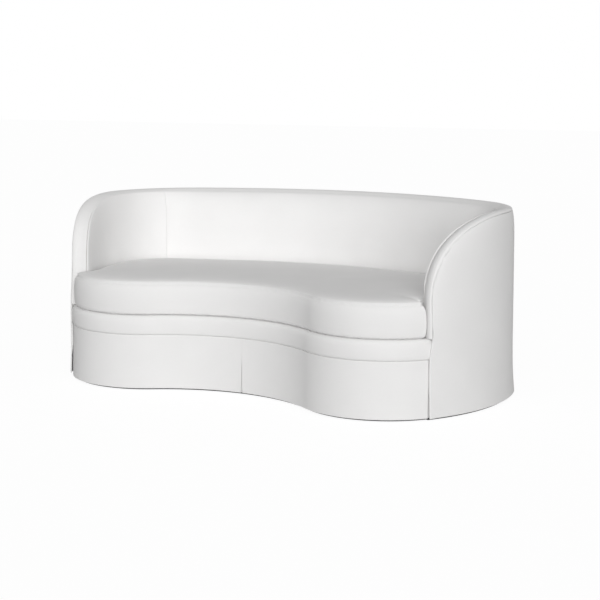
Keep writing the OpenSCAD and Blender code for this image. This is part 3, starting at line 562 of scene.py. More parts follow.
# From the band's inner seam over the roll and down the wall to below the deck
def liningColumns(line, arm, drop, under):
    g = liningShape
    f = np.linspace(0, math.pi / 2, g["rollSteps"] + 1)
    f = f * (0.35 + 0.65 * f / f[-1])
    h = -mix(drop, g["roll"], 1 - np.cos(f)) - roundedEdge(0.05 * np.sin(f), g["edge"])
    # the filling rolls up beside the band, above the cushion's reach
    away = (g["roll"] - g["drop"]) * (1 - np.cos(f)) + 0.03 * np.sin(f)
    puff = g["puff"] * (1 - np.exp(-away / g["puffIn"])) * np.exp(-away / g["puffReach"])
    h = h + puff * smooth(*g["puffFrom"], line["z"])[:, None]
    s, z = offLine(line, h)
    upper = onWall(s, z, mix(g["start"], fullDepth(s) - under, np.sin(f)))
    foot = footPlace(line, arm)
    t = np.linspace(0, 1, g["dropSteps"] + 1)[None, 1:]
    s = mix(s[:, -1:], foot[:, None], t)
    lower = onWall(s, mix(z[:, -1:], g["bottom"], t), fullDepth(s) - under)
    return np.concatenate([upper, lower], 1)


# Draws the cover's edges into the seams where back and arms meet
def inwardDip(grid, line, arm):
    toJoint = np.minimum(line["length"] - line["at"], 9.0 if arm else line["at"])
    dip = roundedEdge(toJoint, liningShape["joint"])[:, None, None]
    wall = onPlan(frontHalf + line["s"], liningShape["depth"]) - onPlan(frontHalf + line["s"], 0)
    wall /= np.linalg.norm(wall, axis=-1, keepdims=True)
    grid[..., :2] -= wall[:, None] * dip
    return grid


def makeLinings():
    g = liningShape

    def pair(line, arm):
        return [inwardDip(liningColumns(line, arm, g["drop"] + t, t), line, arm) for t in (0.0, g["thick"])]
    outer, inner = pair(backLine(armShape["insideSeam"] + halfSeam), False)
    back = sheetPiece("insideOfBack", outer, inner, coverCloth)
    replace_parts(back, "inside_back")
    outer, inner = pair(armLine(armShape["insideSeam"] - halfSeam), True)
    for side, turn in bothSides:
        piece = sheetPiece(f"insideOfArm_{side}", turn(outer), turn(inner), coverCloth)
        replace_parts(piece, f"inside_arm_{side}")


coverShape = {
    "depth": -0.013, "thick": 0.0023, "hem": 0.008, "skirtTop": 0.250, "edge": 0.0036,
    "lean": 0.012, "leanReach": 0.170, "slit": 0.004, "slitTop": 0.158, "topGap": 0.0078,
    "frontLean": (0.006, 0.09), "openTo": (0.06, 0.17), "edgeReach": 0.06, "borderTop": 0.336,
    "returnSkirt": -0.0032, "returnBorder": -0.0060,
}


def hemLean(s, z):
    c = coverShape
    near = np.maximum(0, 1 - np.abs(s - armShape["rearPleat"]) / c["leanReach"])
    low = np.maximum(0, 1 - (z - c["hem"]) / (c["skirtTop"] - c["hem"]))
    front = np.maximum(0, 1 - np.abs(s) / c["frontLean"][1])
    return (c["lean"] * near ** 2 + c["frontLean"][0] * front ** 2) * low ** 2


# How far an edge opens at its pleat, at a height and a distance from the edge
def slitAt(z, near):
    c = coverShape
    low = np.maximum(0, 1 - (z - c["hem"]) / (c["slitTop"] - c["hem"]))
    return c["slit"] * low * np.maximum(0, 1 - near / c["edgeReach"])


# Shares of a column's height, closer together near the hem and the top seam
def rowShares(count):
    v = np.linspace(0, 1, count)
    return np.concatenate([[0, 0.004], v[1:-1], [0.985, 0.992, 0.996, 0.9985, 1.0]])


def outsideArmGrids():
    c, a = coverShape, armShape
    last = a["rearPleat"] - halfSeam
    first = a["setback"] + c["topGap"]
    s = first + spread(last - first, 0.012)
    top = armTop(s) - c["topGap"]
    top[0] = armShape["start"]
    v = rowShares(44)
    z = mix(c["hem"], top[:, None], v[None])
    z[:, 0] = c["hem"]
    # the front edge leans back from the skirt's end to the arm's seam
    lead = first * (1 - smooth(c["skirtTop"], c["borderTop"], z))
    lead *= np.maximum(0, 1 - (s[:, None] - first) / c["edgeReach"])
    place = s[:, None] - lead - slitAt(z, last - s[:, None])
    near = np.minimum(toOuterSeam(place, z, c["topGap"]), top[:, None] - z)
    front = place - place[:1]
    near = np.minimum(near, np.where(z <= armShape["start"], front, 9.0))
    depth = c["depth"] + roundedEdge(near, c["edge"]) - hemLean(place, z) + drawnIn(near, z)
    outer = onWall(place, z, depth)
    inner = onWall(place, z, depth + c["thick"])
    # in front the cover turns round its padding and ends beside the skirt and border
    turned = np.where(z[0] < c["skirtTop"], c["returnSkirt"], c["returnBorder"])
    turned = mix(depth[0] + 0.0005, turned, smooth(*c["openTo"], z[0]))
    turned = mix(turned, depth[0] + 0.0003, smooth(c["borderTop"] - 0.008, c["borderTop"], z[0]))
    steps = np.array([1.0, 0.5])[:, None]
    rim = mix(depth[0], turned[None], steps)
    wrap = onWall(np.broadcast_to(place[:1], rim.shape), np.broadcast_to(z[:1], rim.shape), rim)
    tuck = onWall(np.broadcast_to(place[:1] + 0.002, rim.shape), np.broadcast_to(z[:1], rim.shape), rim)
    return np.concatenate([wrap, outer]), np.concatenate([tuck, inner])


def makeOutsideCovers():
    c, a = coverShape, armShape
    outer, inner = outsideArmGrids()
    for side, turn in bothSides:
        piece = sheetPiece(f"outsideOfArm_{side}", turn(outer), turn(inner), coverCloth)
        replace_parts(piece, f"outside_arm_{side}")
    first = a["rearPleat"] + halfSeam
    at = spread(farSide - 2 * first, 0.014)
    s = (first + at)[:, None]
    z = mix(c["hem"], a["top"] - c["topGap"], rowShares(44))[None]
    toEdge = np.minimum(at, at[::-1])[:, None]
    place = s + slitAt(z, toEdge) * np.sign(farSide / 2 - s)
    folded = np.minimum(place, farSide - place)
    below = z[:, -1:] - z
    depth = c["depth"] + roundedEdge(below, c["edge"]) - hemLean(folded, z) + drawnIn(below, z)
    back = sheetPiece("outsideOfBack", onWall(place, z, depth), onWall(place, z, depth + c["thick"]), coverCloth)
    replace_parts(back, "outside_back")


borderShape = {
    "end": 1.0407,
    # depth and height down the face, from the seam with the skirt to the deck
    "face": ((0.0016, 0.2503), (-0.0012, 0.2512), (-0.0030, 0.2540), (-0.0042, 0.2600), (-0.0049, 0.2720),
             (-0.0050, 0.2880), (-0.0045, 0.3020), (-0.0030, 0.3140), (-0.0002, 0.3220), (0.0042, 0.3290),
             (0.0100, 0.3336), (0.0170, 0.3356), (0.0240, 0.3360), (0.0420, 0.3360), (0.0600, 0.3360)),
    "back": ((0.0600, 0.3070), (0.0340, 0.3070), (0.0100, 0.3070), (0.0080, 0.3060), (0.0080, 0.2510)),
}
skirtShape = {
    "thick": 0.0025, "flare": 0.005, "edge": 0.0034,
    "flapHalf": 0.075, "flapTop": 0.2497, "flapFront": 0.0028, "flapRear": -0.0102,
}


def makeFront():
    b, c, k = borderShape, coverShape, skirtShape
    u = (spread(2 * b["end"], 0.012) - b["end"])[:, None]
    loop = np.array(b["face"] + b["back"])
    border = tubePiece("frontBorder", onCurve(u, loop[:, 1], loop[:, 0]), coverCloth)
    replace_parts(border, "front_border")

    length = frontHalf - 0.0006
    at = spread(length, 0.012)[:, None]
    share = np.concatenate([[0, 0.006, 0.03], np.linspace(0.08, 0.96, 22), [0.975, 0.984, 0.990, 0.995, 1.0]])[None]
    z = mix(c["hem"], c["skirtTop"], share)
    toEnd = np.minimum(at, length - at)
    slit = slitAt(z, toEnd) * np.sign(length / 2 - at)
    depth = -k["flare"] * (1 - share) + roundedEdge(c["skirtTop"] - z, k["edge"])
    outer, inner = (onCurve(0.0003 + at + slit, z, d) for d in (depth, depth + k["thick"]))
    for side, turn in bothSides:
        piece = sheetPiece(f"frontSkirt_{side}", turn(outer), turn(inner), coverCloth)
        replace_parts(piece, f"front_skirt_{side}")

    def flap(place, middle, depth, turn=kept):
        u = np.linspace(middle - k["flapHalf"], middle + k["flapHalf"], 15)[:, None]
        z = np.linspace(c["hem"], k["flapTop"], 14)
        outer, inner = (turn(onCurve(u, z, d)) for d in (depth, depth + k["thick"]))
        piece = sheetPiece(f"pleatFlap_{place}", outer, inner, coverCloth)
        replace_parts(piece, f"pleat_flap_{place}")
    flap("centre", 0.0, k["flapFront"])
    for place, middle, depth in (("front", 0.0, k["flapFront"]), ("rear", armShape["rearPleat"], k["flapRear"])):
        for side, turn in bothSides:
            flap(f"{place}_{side}", frontHalf + middle, depth, turn)


makeBands()
makeLinings()
makeOutsideCovers()
makeFront()
print("band, covers, border and skirt are sewn")

cushionShape = {
    "bottom": 0.3363, "seam": 0.4703, "crown": 0.018, "crownReach": 0.095, "end": 1.008,
    "roll": (0.006, 0.019), "rollReach": 0.015, "rollSpan": (0.45, -0.25),  # along the back, along the front
    "armLift": 0.004, "armPlace": (0.95, 0.05), "armSpread": (0.22, 0.20),  # extra roll beside the arms
    "inset": 0.008, "draw": 0.004, "gap": 0.005, "frontSteps": 400, "earSteps": 16, "wallSteps": 260,
    "inner": 0.060, "cell": 0.017, "corner": 0.006,
    "core": ((0.060, 0.0095), (0.0215, 0.0095), (0.0150, 0.0150), (0.0130, 0.0215), (0.0130, 0.1125),
             (0.0150, 0.1190), (0.0300, 0.1265), (0.060, 0.1310)),
    # inset from the rim and height above the bottom, from below round the side to the top seam
    "side": ((0.0600, 0.0), (0.0420, 0.0), (0.0280, 0.0), (0.0190, 0.0002), (0.0125, 0.0010), (0.0085, 0.0026),
             (0.0062, 0.0044), (0.0042, 0.0066), (0.0020, 0.0110), (0.0004, 0.0180), (-0.0008, 0.0300),
             (-0.0016, 0.0460), (-0.0020, 0.0640), (-0.0017, 0.0820), (-0.0008, 0.0980), (0.0010, 0.1120),
             (0.0036, 0.1230), (0.0070, 0.1308), (0.0100, 0.1354), (0.0122, 0.1378), (0.0136, 0.1392)),
    "topInsets": (0.0150, 0.0180, 0.0230, 0.0300, 0.0390, 0.0490, 0.0600),
    "seams": (5, 20),  # rows of the side that dip into the bottom and the top seam
    "seamDip": 0.0022, "dipWidth": 0.0026, "pucker": (0.0016, 0.0010), "puckerWave": 0.021, "puckerReach": 0.010,
}


# Rise of the cushion's top above its seam at an inset from the rim: a quick roll, then a slow crown
def crownAt(e, spots):
    c = cushionShape
    x, y = np.abs(spots[:, 0]), spots[:, 1]
    back, front = c["rollSpan"]
    roll = mix(*c["roll"], np.clip((back - y) / (back - front), 0, 1))
    away = [(g - place) / width for g, place, width in zip((x, y), c["armPlace"], c["armSpread"])]
    roll = roll + c["armLift"] * np.exp(-away[0] ** 2 - away[1] ** 2)
    return roll * (1 - np.exp(-e / c["rollReach"])) + c["crown"] * (1 - np.exp(-e / c["crownReach"]))


# Depth of the cushion's side along the walls
def cushionWall(u):
    c = cushionShape
    u = np.minimum(u, 2 * backAt - u)
    draw = c["draw"] * np.sin((u - c["end"]) / (backAt - c["end"]) * math.pi / 2) ** 2
    return wallAt(u - frontHalf) + c["gap"] + draw


# The rim at an inset, once round from the front centre: front, ear and wall
def cushionRim(e):
    c = cushionShape
    end, near = c["end"] - e, c["inset"] + e
    t = np.linspace(0, 1, c["frontSteps"] // 2 + 1)
    front = np.stack([end * t, near + c["draw"] * np.cos(t * math.pi / 2) ** 2], -1)
    place = np.linspace(end, backAt, c["wallSteps"] + 1)
    wall = np.stack([place, cushionWall(place) + e], -1)
    t = np.linspace(0, 1, c["earSteps"] + 1)[1:-1, None]
    half = np.concatenate([front, mix(front[-1:], wall[:1], t), wall])
    right = onPlan(half[:, 0], half[:, 1])
    return np.concatenate([right, right[-2:0:-1] * np.array([-1, 1])])


def inside(points, ring):
    x, y = points[:, 0][:, None], points[:, 1][:, None]
    a, b = ring, np.roll(ring, -1, 0)
    crosses = ((a[:, 1] > y) != (b[:, 1] > y)) & \
        (x < (b[:, 0] - a[:, 0]) * (y - a[:, 1]) / (b[:, 1] - a[:, 1] + 1e-12) + a[:, 0])
    return crosses.sum(1) % 2 == 1


def distanceTo(points, ring):
    best = np.full(len(points), 9.0)
    for k in range(0, len(ring), 2):
        best = np.minimum(best, np.hypot(points[:, 0] - ring[k, 0], points[:, 1] - ring[k, 1]))
    return best


# Rounds the rim's corners: each point moves to the mean of its neighbours in reach
def softenCorners(ring, radius):
    closed = np.concatenate([ring, ring[:1]])
    along = np.concatenate([[0], np.cumsum(np.linalg.norm(np.diff(closed, axis=0), axis=-1))])
    out = np.zeros_like(ring)
    offsets = np.linspace(-radius, radius, 13)
    for o in offsets:
        t = (along[:-1] + o) % along[-1]
        out += np.stack([np.interp(t, along, closed[:, k]) for k in (0, 1)], -1)
    return out / len(offsets)


# An even spread of triangles inside the first ring and outside the others
def filled(rings, cell):
    spots, edges = np.concatenate(rings), []
    start = 0
    for ring in rings:
        edges += [(start + k, start + (k + 1) % len(ring)) for k in range(len(ring))]
        start += len(ring)
    lo, hi = rings[0].min(0), rings[0].max(0)
    gx, gy = np.meshgrid(np.arange(lo[0], hi[0], cell), np.arange(lo[1], hi[1], cell * 0.866), indexing="ij")
    gx = gx + (np.arange(gx.shape[1])[None] % 2) * cell / 2
    cloud = np.stack([gx.ravel(), gy.ravel()], -1)
    for k, ring in enumerate(rings):
        cloud = cloud[inside(cloud, ring) == (k == 0)]
        cloud = cloud[distanceTo(cloud, ring) > cell * 0.55]
    made = delaunay_2d_cdt([Vector(p) for p in np.concatenate([spots, cloud])], edges, [], 1, 1e-7)
    found = np.array([tuple(p) for p in made[0]])
    faces = np.array(made[2])
    middle = found[faces].mean(1)
    keep = np.ones(len(faces), bool)
    for ring in rings[1:]:
        keep &= ~inside(middle, ring)
    origin = np.array([o[0] if o and o[0] < len(spots) else -1 for o in made[3]])
    return found, faces[keep], origin


# A closed pad: rings round its side, then a filled panel below and above
def roundPad(name, rings, bottom, top, cells, paint, body="settee_frame"):
    rows, n = len(rings), len(rings[0])
    points = np.concatenate(rings)
    faces = gridFaces(rows, n, closed=True).tolist()
    uv = surfaceLengths(np.stack(rings)).reshape(-1, 2)[:, ::-1]
    onTop = np.arange(rows * n) >= (rows - 6) * n
    uv = [np.where(onTop[:, None], points[:, :2], uv)]
    for base, level, cell in ((0, bottom, cells[0]), ((rows - 1) * n, top, cells[1])):
        ring = points[base:base + n, :2]
        found, made, origin = filled([ring], cell)
        where = np.where(origin >= 0, base + origin, 0)
        extra = np.flatnonzero(origin < 0)
        where[extra] = len(points) + np.arange(len(extra))
        spots = found[extra]
        z = level(distanceTo(spots, ring), spots)
        points = np.concatenate([points, np.concatenate([spots, z[:, None]], 1)])
        uv.append(spots)
        faces += (where[made][:, ::-1] if base == 0 else where[made]).tolist()
    return meshPiece(name, points, faces, paint, body=body, uv=np.concatenate(uv), sharp=80)


# Draws the rings in at both seams and puckers the cloth beside them
def sewCushion(rings):
    c = cushionShape
    grid = np.stack(rings)
    across = np.roll(grid, -1, 1) - np.roll(grid, 1, 1)
    normal = np.cross(across, np.gradient(grid, axis=0))
    normal /= np.linalg.norm(normal, axis=-1, keepdims=True)
    height = np.concatenate([[0], np.cumsum(np.linalg.norm(np.diff(grid[:, 0], axis=0), axis=-1))])
    around = np.cumsum(np.linalg.norm(np.diff(grid[20], axis=0, prepend=grid[20][:1]), axis=-1))
    shift = np.zeros(grid.shape[:2])
    for k, row in enumerate(c["seams"]):
        away = np.abs(height - height[row])[:, None]
        folds = np.array([noise.noise((t / c["puckerWave"], 7.3 * k, 0.0)) for t in around])
        folds += 0.6 * np.array([noise.noise((t / c["puckerWave"] * 2.3, 7.3 * k, 5.0)) for t in around])
        shift -= c["seamDip"] * np.exp(-(away / c["dipWidth"]) ** 2)
        shift += c["pucker"][k] * folds[None] * np.exp(-(away / c["puckerReach"]) ** 2)
    return list(grid + normal * shift[..., None])


def makeCushion():
    c = cushionShape
    rings = []
    for e, rise in c["side"] + tuple((e, None) for e in c["topInsets"]):
        ring = softenCorners(cushionRim(e), c["corner"])
        height = c["seam"] + crownAt(e, ring) if rise is None else np.full(len(ring), c["bottom"] + rise)
        rings.append(np.c_[ring, height])
    rings = sewCushion(rings)
    piece = roundPad(
        "seatCushion", rings, lambda e, spots: np.full(len(e), c["bottom"]),
        lambda e, spots: c["seam"] + crownAt(e + c["inner"], spots),
        (0.034, c["cell"]), coverCloth, body="seat_cushion")
    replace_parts(piece, "seat_cushion_cover")
    core = []
    for e, rise in c["core"]:
        ring = cushionRim(e)
        core.append(np.c_[ring, np.full(len(ring), c["bottom"] + rise)])
    foam = roundPad("foamOfCushion", core, lambda e, spots: np.full(len(e), c["bottom"] + c["core"][0][1]),
                    lambda e, spots: c["bottom"] + c["core"][-1][1] + 0.006 * (1 - np.exp(-e / 0.04)),
                    (0.06, 0.05), foamSkin, body="seat_cushion")
    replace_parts(foam, "seat_cushion_core")


makeCushion()
print("seat cushion is filled")

layerShape = {
    "foamDrop": 0.0136, "foamUnder": 0.0026, "foamBack": 0.0537, "frameTop": 0.0223,
    "wadding": (-0.0100, 0.0052), "waddingFoot": 0.262, "strapTop": 0.8047, "strapFoot": 0.2805,
    "strapWidth": 0.060, "strapDepth": (0.0509, 0.0534), "strapPitch": 0.140, "strapPairs": 5,
    "deckFront": 0.0624, "deckWall": 0.146, "deckEnd": 0.1736, "dustInset": 0.010, "dustEnd": 0.006,
    "footHole": 0.026, "frontFeet": 0.698, "rearFeet": 0.990,
    # heights of the flat layers' upper and lower faces
    "cloth": (0.336, 0.334), "pad": (0.3337, 0.3067), "hessian": (0.3064, 0.3049), "dust": (0.0997, 0.0987),
}


def foamPiece(name, line, arm, node, turn=kept):
    g, k = liningShape, layerShape
    front = liningColumns(line, arm, k["foamDrop"], k["foamUnder"])
    share = np.linspace(0, 1, g["rollSteps"] + 1)
    d = np.where(share == 0, g["start"], k["foamBack"])
    upper = seamPoint(line, d[None], -mix(k["frameTop"] + 0.0003, g["roll"], share)[None])
    t = (np.arange(1, g["dropSteps"] + 1) / g["dropSteps"])[None]
    s, z = offLine(line, -g["roll"])
    lower = onWall(mix(s, footPlace(line, arm)[:, None], t), mix(z, g["bottom"], t), k["foamBack"])
    back = np.concatenate([upper, lower], 1)
    piece = sheetPiece(name, turn(front), turn(back), foamSkin)
    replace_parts(piece, node)


def waddingPiece(name, line, node, turn=kept):
    k = layerShape
    share = np.linspace(0, 1, 9)[None]
    s, z = offLine(line, -k["frameTop"])
    z = mix(k["waddingFoot"], z, share)
    near = np.minimum(toOuterSeam(s, z), armTop(line["s"])[:, None] - z)
    face = k["wadding"][0] + np.minimum(drawnIn(near, z) * 1.25, 0.0135)
    piece = sheetPiece(name, *(turn(onWall(s + 0 * z, z, d)) for d in (face, k["wadding"][1])), waddingSkin)
    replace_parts(piece, node)


def makePadding():
    a, k = armShape, layerShape
    foamPiece("foamOfBack", backLine(a["insideSeam"] + halfSeam, 0.03), False, "back_foam")
    waddingPiece("outerWaddingOfBack", backLine(a["rearPleat"] + halfSeam, 0.03), "outer_wadding_back")
    inner = armLine(a["insideSeam"] - halfSeam, 0.02)
    s, z = armPath(False)
    outer = seamLine(np.append(s, a["rearPleat"] - halfSeam), np.append(z, a["top"]), 0.02)
    for side, turn in bothSides:
        foamPiece(f"foamOfArm_{side}", inner, True, f"arm_foam_{side}", turn)
        waddingPiece(f"outerWaddingOfArm_{side}", outer, f"outer_wadding_{side}", turn)
    # straps behind the back's foam, between the springs
    parts = []
    for i in range(k["strapPairs"]):
        at = np.linspace(frontHalf + a["reach"], backAt, 2000)
        x = onPlan(at, k["strapDepth"][0])[:, 0]
        middle = at[np.argmin(np.abs(x - (i + 0.5) * k["strapPitch"]))]
        u = np.linspace(middle - k["strapWidth"] / 2, middle + k["strapWidth"] / 2, 5)[:, None]
        z = np.linspace(k["strapFoot"], k["strapTop"], 12)
        for turn in (kept, mirrored):
            outer, inner = (turn(onCurve(u, z, d)) for d in k["strapDepth"])
            parts.append(sheetPiece("strap", outer, inner, strapCloth))
    straps = joined("backStraps", parts)
    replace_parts(straps, "back_webbing")


# Ring of a flat layer; the depth of its wall side may follow the inside covers
def floorRing(frontDepth, end, wallDepth, step=0.02):
    e = frontHalf + end
    front = np.linspace(-e, e, round(2 * e / step))
    wall = np.linspace(e, 2 * backAt - e, round(2 * (backAt - e) / step))
    depth = wallDepth if wallDepth < 0.05 else fullDepth(wall - frontHalf) + 0.0024
    ring = np.concatenate([onPlan(front, frontDepth), onPlan(wall, depth)])
    step = np.linalg.norm(ring - np.roll(ring, 1, 0), axis=-1)
    return ring[step > 1e-6]


# A sheet or pad that lies flat between its rings, with an optional sag in its middle
def flatLayer(name, node, rings, cell, levels, paint, sag=0.0):
    found, made, origin = filled(rings, cell)
    n = len(found)
    away = np.minimum.reduce([distanceTo(found, ring) for ring in rings])
    away[origin >= 0] = 0
    dip = sag * (1 - np.exp(-(away / 0.09) ** 2))
    points = np.concatenate([np.c_[found, level - dip] for level in levels])
    faces = made.tolist() + (made[:, ::-1] + n).tolist()
    where = {int(o): k for k, o in enumerate(origin) if o >= 0}
    start = 0
    for ring in rings:
        m = len(ring)
        for k in range(m):
            a, b = where.get(start + k), where.get(start + (k + 1) % m)
            if a is not None and b is not None:
                faces.append((b, a, a + n, b + n))
        start += m
    piece = meshPiece(name, points, faces, paint, uv=np.tile(found, (2, 1)), sharp=40)
    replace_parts(piece, node)
    return piece


def makeDeck():
    k = layerShape
    ring = floorRing(k["deckFront"], k["deckEnd"], k["deckWall"])
    cloth = flatLayer("deckCloth", "deck_cloth", [ring], 0.04, k["cloth"], liningCloth)
    pad = flatLayer("deckPad", "deck_pad", [ring], 0.08, k["pad"], waddingSkin)
    hessian = flatLayer("deckHessian", "deck_hessian", [ring], 0.06, k["hessian"], hessianCloth)
    holes = []
    for x, y, turn in footPlaces():
        c, q, h = math.cos(turn), math.sin(turn), k["footHole"]
        holes.append(np.array([(x + c * a - q * b, y + q * a + c * b) for a, b in
                               ((-h, -h), (0, -h), (h, -h), (h, 0), (h, h), (0, h), (-h, h), (-h, 0))]))
    ring = floorRing(k["dustInset"], k["dustEnd"], k["dustInset"])
    dust = flatLayer("dustCover", "dust_cover", [ring] + holes, 0.035, k["dust"], dustCloth, 0.006)


# Middle and turn of each foot
def footPlaces():
    feet, front, rear = [], layerShape["frontFeet"], layerShape["rearFeet"]
    for u in (0.0, front, -front, backAt - rear, backAt + rear, backAt):
        a, b = onPlan([u - 0.002, u + 0.002], planShape["footDepth"])
        feet.append((*(a + b) / 2, math.atan2(b[1] - a[1], b[0] - a[0])))
    return feet


makePadding()
makeDeck()
print("foam, wadding, straps and deck are laid")


# A tree of Geometry Nodes with named number inputs; build adds its nodes and returns its last output
def nodeTree(name, sizes, build):
    tree = bpy.data.node_groups.new(name, "GeometryNodeTree")
    face = tree.interface
    face.new_socket("Path", in_out="INPUT", socket_type="NodeSocketGeometry")
    keys = {k: face.new_socket(k, in_out="INPUT", socket_type="NodeSocketFloat").identifier for k in sizes}
    face.new_socket("Pieces", in_out="OUTPUT", socket_type="NodeSocketGeometry")
    start, end = tree.nodes.new("NodeGroupInput"), tree.nodes.new("NodeGroupOutput")

    def add(kind, inputs=(), **settings):
        return addNode(tree, kind if "Node" in kind else "GeometryNode" + kind, inputs, **settings).outputs
    last = build(add, start.outputs)
    tree.links.new(last, end.inputs[0])
    return tree, keys


# Sets the tree's sizes on a path of edges and returns its result as a plain piece
def grown(name, points, tree, keys, sizes, paint, body="settee_frame", closed=False):
    data = bpy.data.meshes.new(name + "Path")
    spots, edges = [], []
    for line in points:
        base = len(spots)
        spots += [tuple(p) for p in line]
        edges += [(base + k, base + k + 1) for k in range(len(line) - 1)]
        if closed:
            edges.append((base + len(line) - 1, base))
    data.from_pydata(spots, edges, [])
    path = placed(name + "Path", data)
    modifier = path.modifiers.new("repeat", "NODES")
    modifier.node_group = tree
    for key, value in sizes.items():
        modifier[keys[key]] = value
    graph = bpy.context.evaluated_depsgraph_get()
    made = bpy.data.meshes.new_from_object(path.evaluated_get(graph), depsgraph=graph)
    bpy.data.objects.remove(path)
    made.name = name
    if not made.uv_layers:
        made.uv_layers.new(name="clothGrid")
    return dressed(name, made, paint, body)


springShape = {
    "count": 9, "pitch": 0.140, "width": 0.042, "wave": 0.070, "middle": 0.3027, "wire": 0.0019, "bend": 0.0085,
    "front": 0.020, "back": 0.0403,
}


# Where a line of constant x meets the plan at a depth, on its front or its back half
def placeAtX(x, depth, back):
    u = np.linspace(frontHalf + armShape["reach"], backAt, 4000) if back else np.linspace(0, frontHalf, 4000)
    spots = onPlan(u, depth)
    return spots[np.argmin(np.abs(spots[:, 0] - abs(x))), 1]


def makeSprings():
    k = springShape

    def build(add, given):
        line = add("MeshToCurve", {"Mesh": given["Path"]})
        bends = add("FilletCurve", {"Curve": line[0], "Radius": given["Bend"], "Count": 5, "Limit Radius": True},
                    mode="POLY")
        ring = add("CurvePrimitiveCircle", {"Radius": given["Wire"], "Resolution": 8})
        tube = add("CurveToMesh", {"Curve": bends[0], "Profile Curve": ring[0], "Fill Caps": True})
        smoothed = add("SetShadeSmooth", {"Geometry": tube[0]})
        real = add("RealizeInstances", {"Geometry": smoothed[0]})
        return add("SetMaterial", {"Geometry": real[0], "Material": steelSkin})[0]
    sizes = {"Bend": k["bend"], "Wire": k["wire"]}
    tree, keys = nodeTree("bentWire", sizes, build)
    paths = []
    for i in range(k["count"]):
        x = (i - (k["count"] - 1) / 2) * k["pitch"]
        y0, y1 = placeAtX(x, k["front"], False), placeAtX(x, k["back"], True)
        waves = round((y1 - y0) / k["wave"])
        path = [(x, y0, k["middle"])]
        for w in range(waves):
            path += [(x + k["width"] / 2 * (1 if a < 0.5 else -1), mix(y0, y1, (w + a) / waves), k["middle"])
                     for a in (1 / 6, 1 / 3, 2 / 3, 5 / 6)]
        paths.append(path + [(x, y1, k["middle"])])
    springs = grown("seatSprings", paths, tree, keys, sizes, steelSkin)
    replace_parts(springs, "seat_springs")


# Small blocks along a path at even steps, turned with it; every second one stands a little to a side
def blockTree(name, paint):
    def build(add, given):
        line = add("MeshToCurve", {"Mesh": given["Path"]})
        spots = add("CurveToPoints", {"Curve": line[0], "Length": given["Step"]}, mode="LENGTH")
        turned = add("FunctionNodeAxesToRotation", {"Primary Axis": (0, 0, 1), "Secondary Axis": spots["Tangent"]},
                     primary_axis="Z", secondary_axis="X")
        size = add("ShaderNodeCombineXYZ", {"X": given["Length"], "Y": given["Width"], "Z": given["Height"]})
        block = add("MeshCube", {"Size": size[0]})
        copies = add("InstanceOnPoints", {"Points": spots[0], "Instance": block[0], "Rotation": turned[0]})
        index = add("InputIndex")
        even = add("ShaderNodeMath", {0: index[0], 1: 2.0}, operation="MODULO")
        side = add("ShaderNodeMath", {0: even[0], 1: 0.5}, operation="SUBTRACT")
        lift = add("ShaderNodeMath", {0: side[0], 1: given["Stagger"]}, operation="MULTIPLY")
        offset = add("ShaderNodeCombineXYZ", {"Z": lift[0]})
        moved = add("TranslateInstances", {"Instances": copies[0], "Translation": offset[0]})
        real = add("RealizeInstances", {"Geometry": moved[0]})
        return add("SetMaterial", {"Geometry": real[0], "Material": paint})[0]
    return nodeTree(name, ("Step", "Length", "Width", "Height", "Stagger"), build)


zipShape = {
    "half": 0.349, "height": 0.4033, "off": 0.0026, "thick": 0.0012, "width": 0.027, "gap": 0.0046,
    "teeth": {"Step": 0.0028, "Length": 0.0017, "Width": 0.0016, "Height": 0.0046, "Stagger": 0.0008},
}


def zipLine(u, z, away):
    return onCurve(u, z, cushionWall(u) - zipShape["off"] - away)


def makeZip():
    k = zipShape
    u = np.linspace(backAt - k["half"], backAt + k["half"], 90)
    parts = []
    for low, high in ((-k["width"] / 2, -k["gap"] / 2), (k["gap"] / 2, k["width"] / 2)):
        z = k["height"] + np.linspace(low, high, 4)
        outer, inner = (zipLine(u[:, None], z, away) for away in (k["thick"], 0.0))
        parts.append(sheetPiece("tapeHalf", outer, inner, tapeCloth, body="seat_cushion"))
    tape = joined("zipTape", parts)
    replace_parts(tape, "cushion_zip")
    line = zipLine(u, k["height"], k["thick"] * 0.6)
    tree, keys = blockTree("toothRow", zipMetal)
    teeth = grown("zipTeeth", [line], tree, keys, k["teeth"], zipMetal, body="seat_cushion")
    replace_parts(teeth, "cushion_zip")


stapleShape = {"inset": 0.022, "under": 0.0983,
               "sizes": {"Step": 0.045, "Length": 0.010, "Width": 0.0012, "Height": 0.0009, "Stagger": 0.0}}


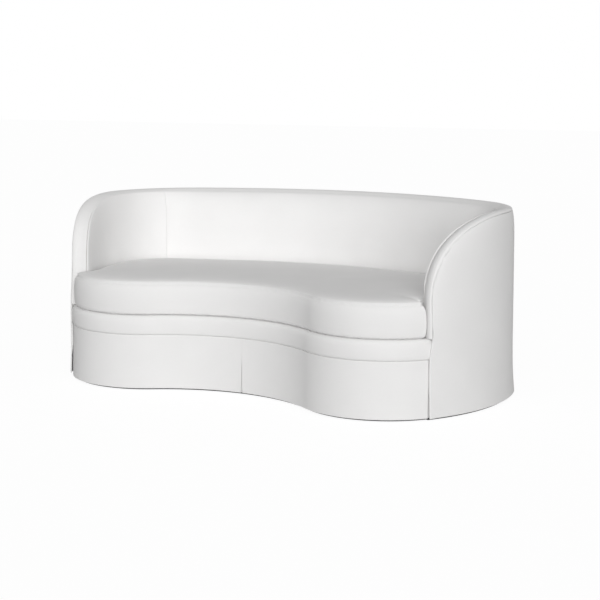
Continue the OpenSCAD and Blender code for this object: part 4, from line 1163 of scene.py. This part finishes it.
# The glowing floor would show no shade inside the hem, so a darker sheet lies there
def makeShade():
    found, faces, _ = filled([floorRing(lighting["hemInset"], 0.0, 0.0)], 0.2)
    data = bpy.data.meshes.new("shadedFloor")
    data.from_pydata([(x, y, 0.0002) for x, y in found], [], faces.tolist())
    data.materials.append(Paint("shadedPaper", 0.5, Base_Color=(*[lighting["hemShade"]] * 3, 1)).material)
    placed("shadedFloor", data)


def makeStaples():
    k = stapleShape
    tree, keys = blockTree("stapleRow", steelSkin)
    ring = floorRing(k["inset"], -0.008, k["inset"], 0.01)
    path = np.c_[ring, np.full(len(ring), k["under"])]
    grown("dustCoverStaples", [path], tree, keys, k["sizes"], steelSkin, closed=True)


# A copy of a node's mesh with its long outer edges rounded off
def eased(name, node, width, paint, shortest=0.03):
    data = frame["nodes"][node].data.copy()
    data.name = name
    work = bmesh.new()
    work.from_mesh(data)
    bmesh.ops.remove_doubles(work, verts=work.verts, dist=1e-6)
    bmesh.ops.dissolve_limit(work, angle_limit=0.01, verts=work.verts, edges=work.edges)
    edges = [e for e in work.edges if len(e.link_faces) == 2 and e.calc_face_angle() > 1.2
             and e.calc_length() > shortest]
    bmesh.ops.bevel(work, geom=edges, offset=width, segments=3, profile=0.5, affect="EDGES")
    work.to_mesh(data)
    work.free()
    data.transform(frame["nodes"][node].matrix_world)
    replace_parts(dressed(name, data, paint), node)


makeSprings()
makeZip()
makeStaples()
makeShade()
eased("blockFeet", "block_feet", 0.003, footSkin)
print("springs, zip, staples and feet are fitted")

nodePaint = {
    plankAlongX: ("seat_rail_front", "seat_rail_back", "corner_blocks"),
    plankAlongY: ("seat_rail_left", "seat_rail_right", "stretcher_left", "stretcher_centre", "stretcher_right"),
    plankUpright: ("arm_post_left", "arm_post_right", "back_studs", "arm_studs"),
    plywoodSkin: ("base_plate_front", "base_plate_back", "base_plate_left", "base_plate_right", "top_plate",
                  "arm_rail_left", "arm_rail_right"),
    boardSkin: ("outer_board_back", "outer_board_left", "outer_board_right", "skirt_tack_strip"),
    steelSkin: ("spring_clips", "foot_bolts"),
    glideSkin: ("foot_glides",),
    zipMetal: ("zip_slider",),
}


def dressNodes():
    for paint, names in nodePaint.items():
        for name in names:
            data = frame["nodes"][name].data
            data.materials.clear()
            data.materials.append(paint)


dressNodes()
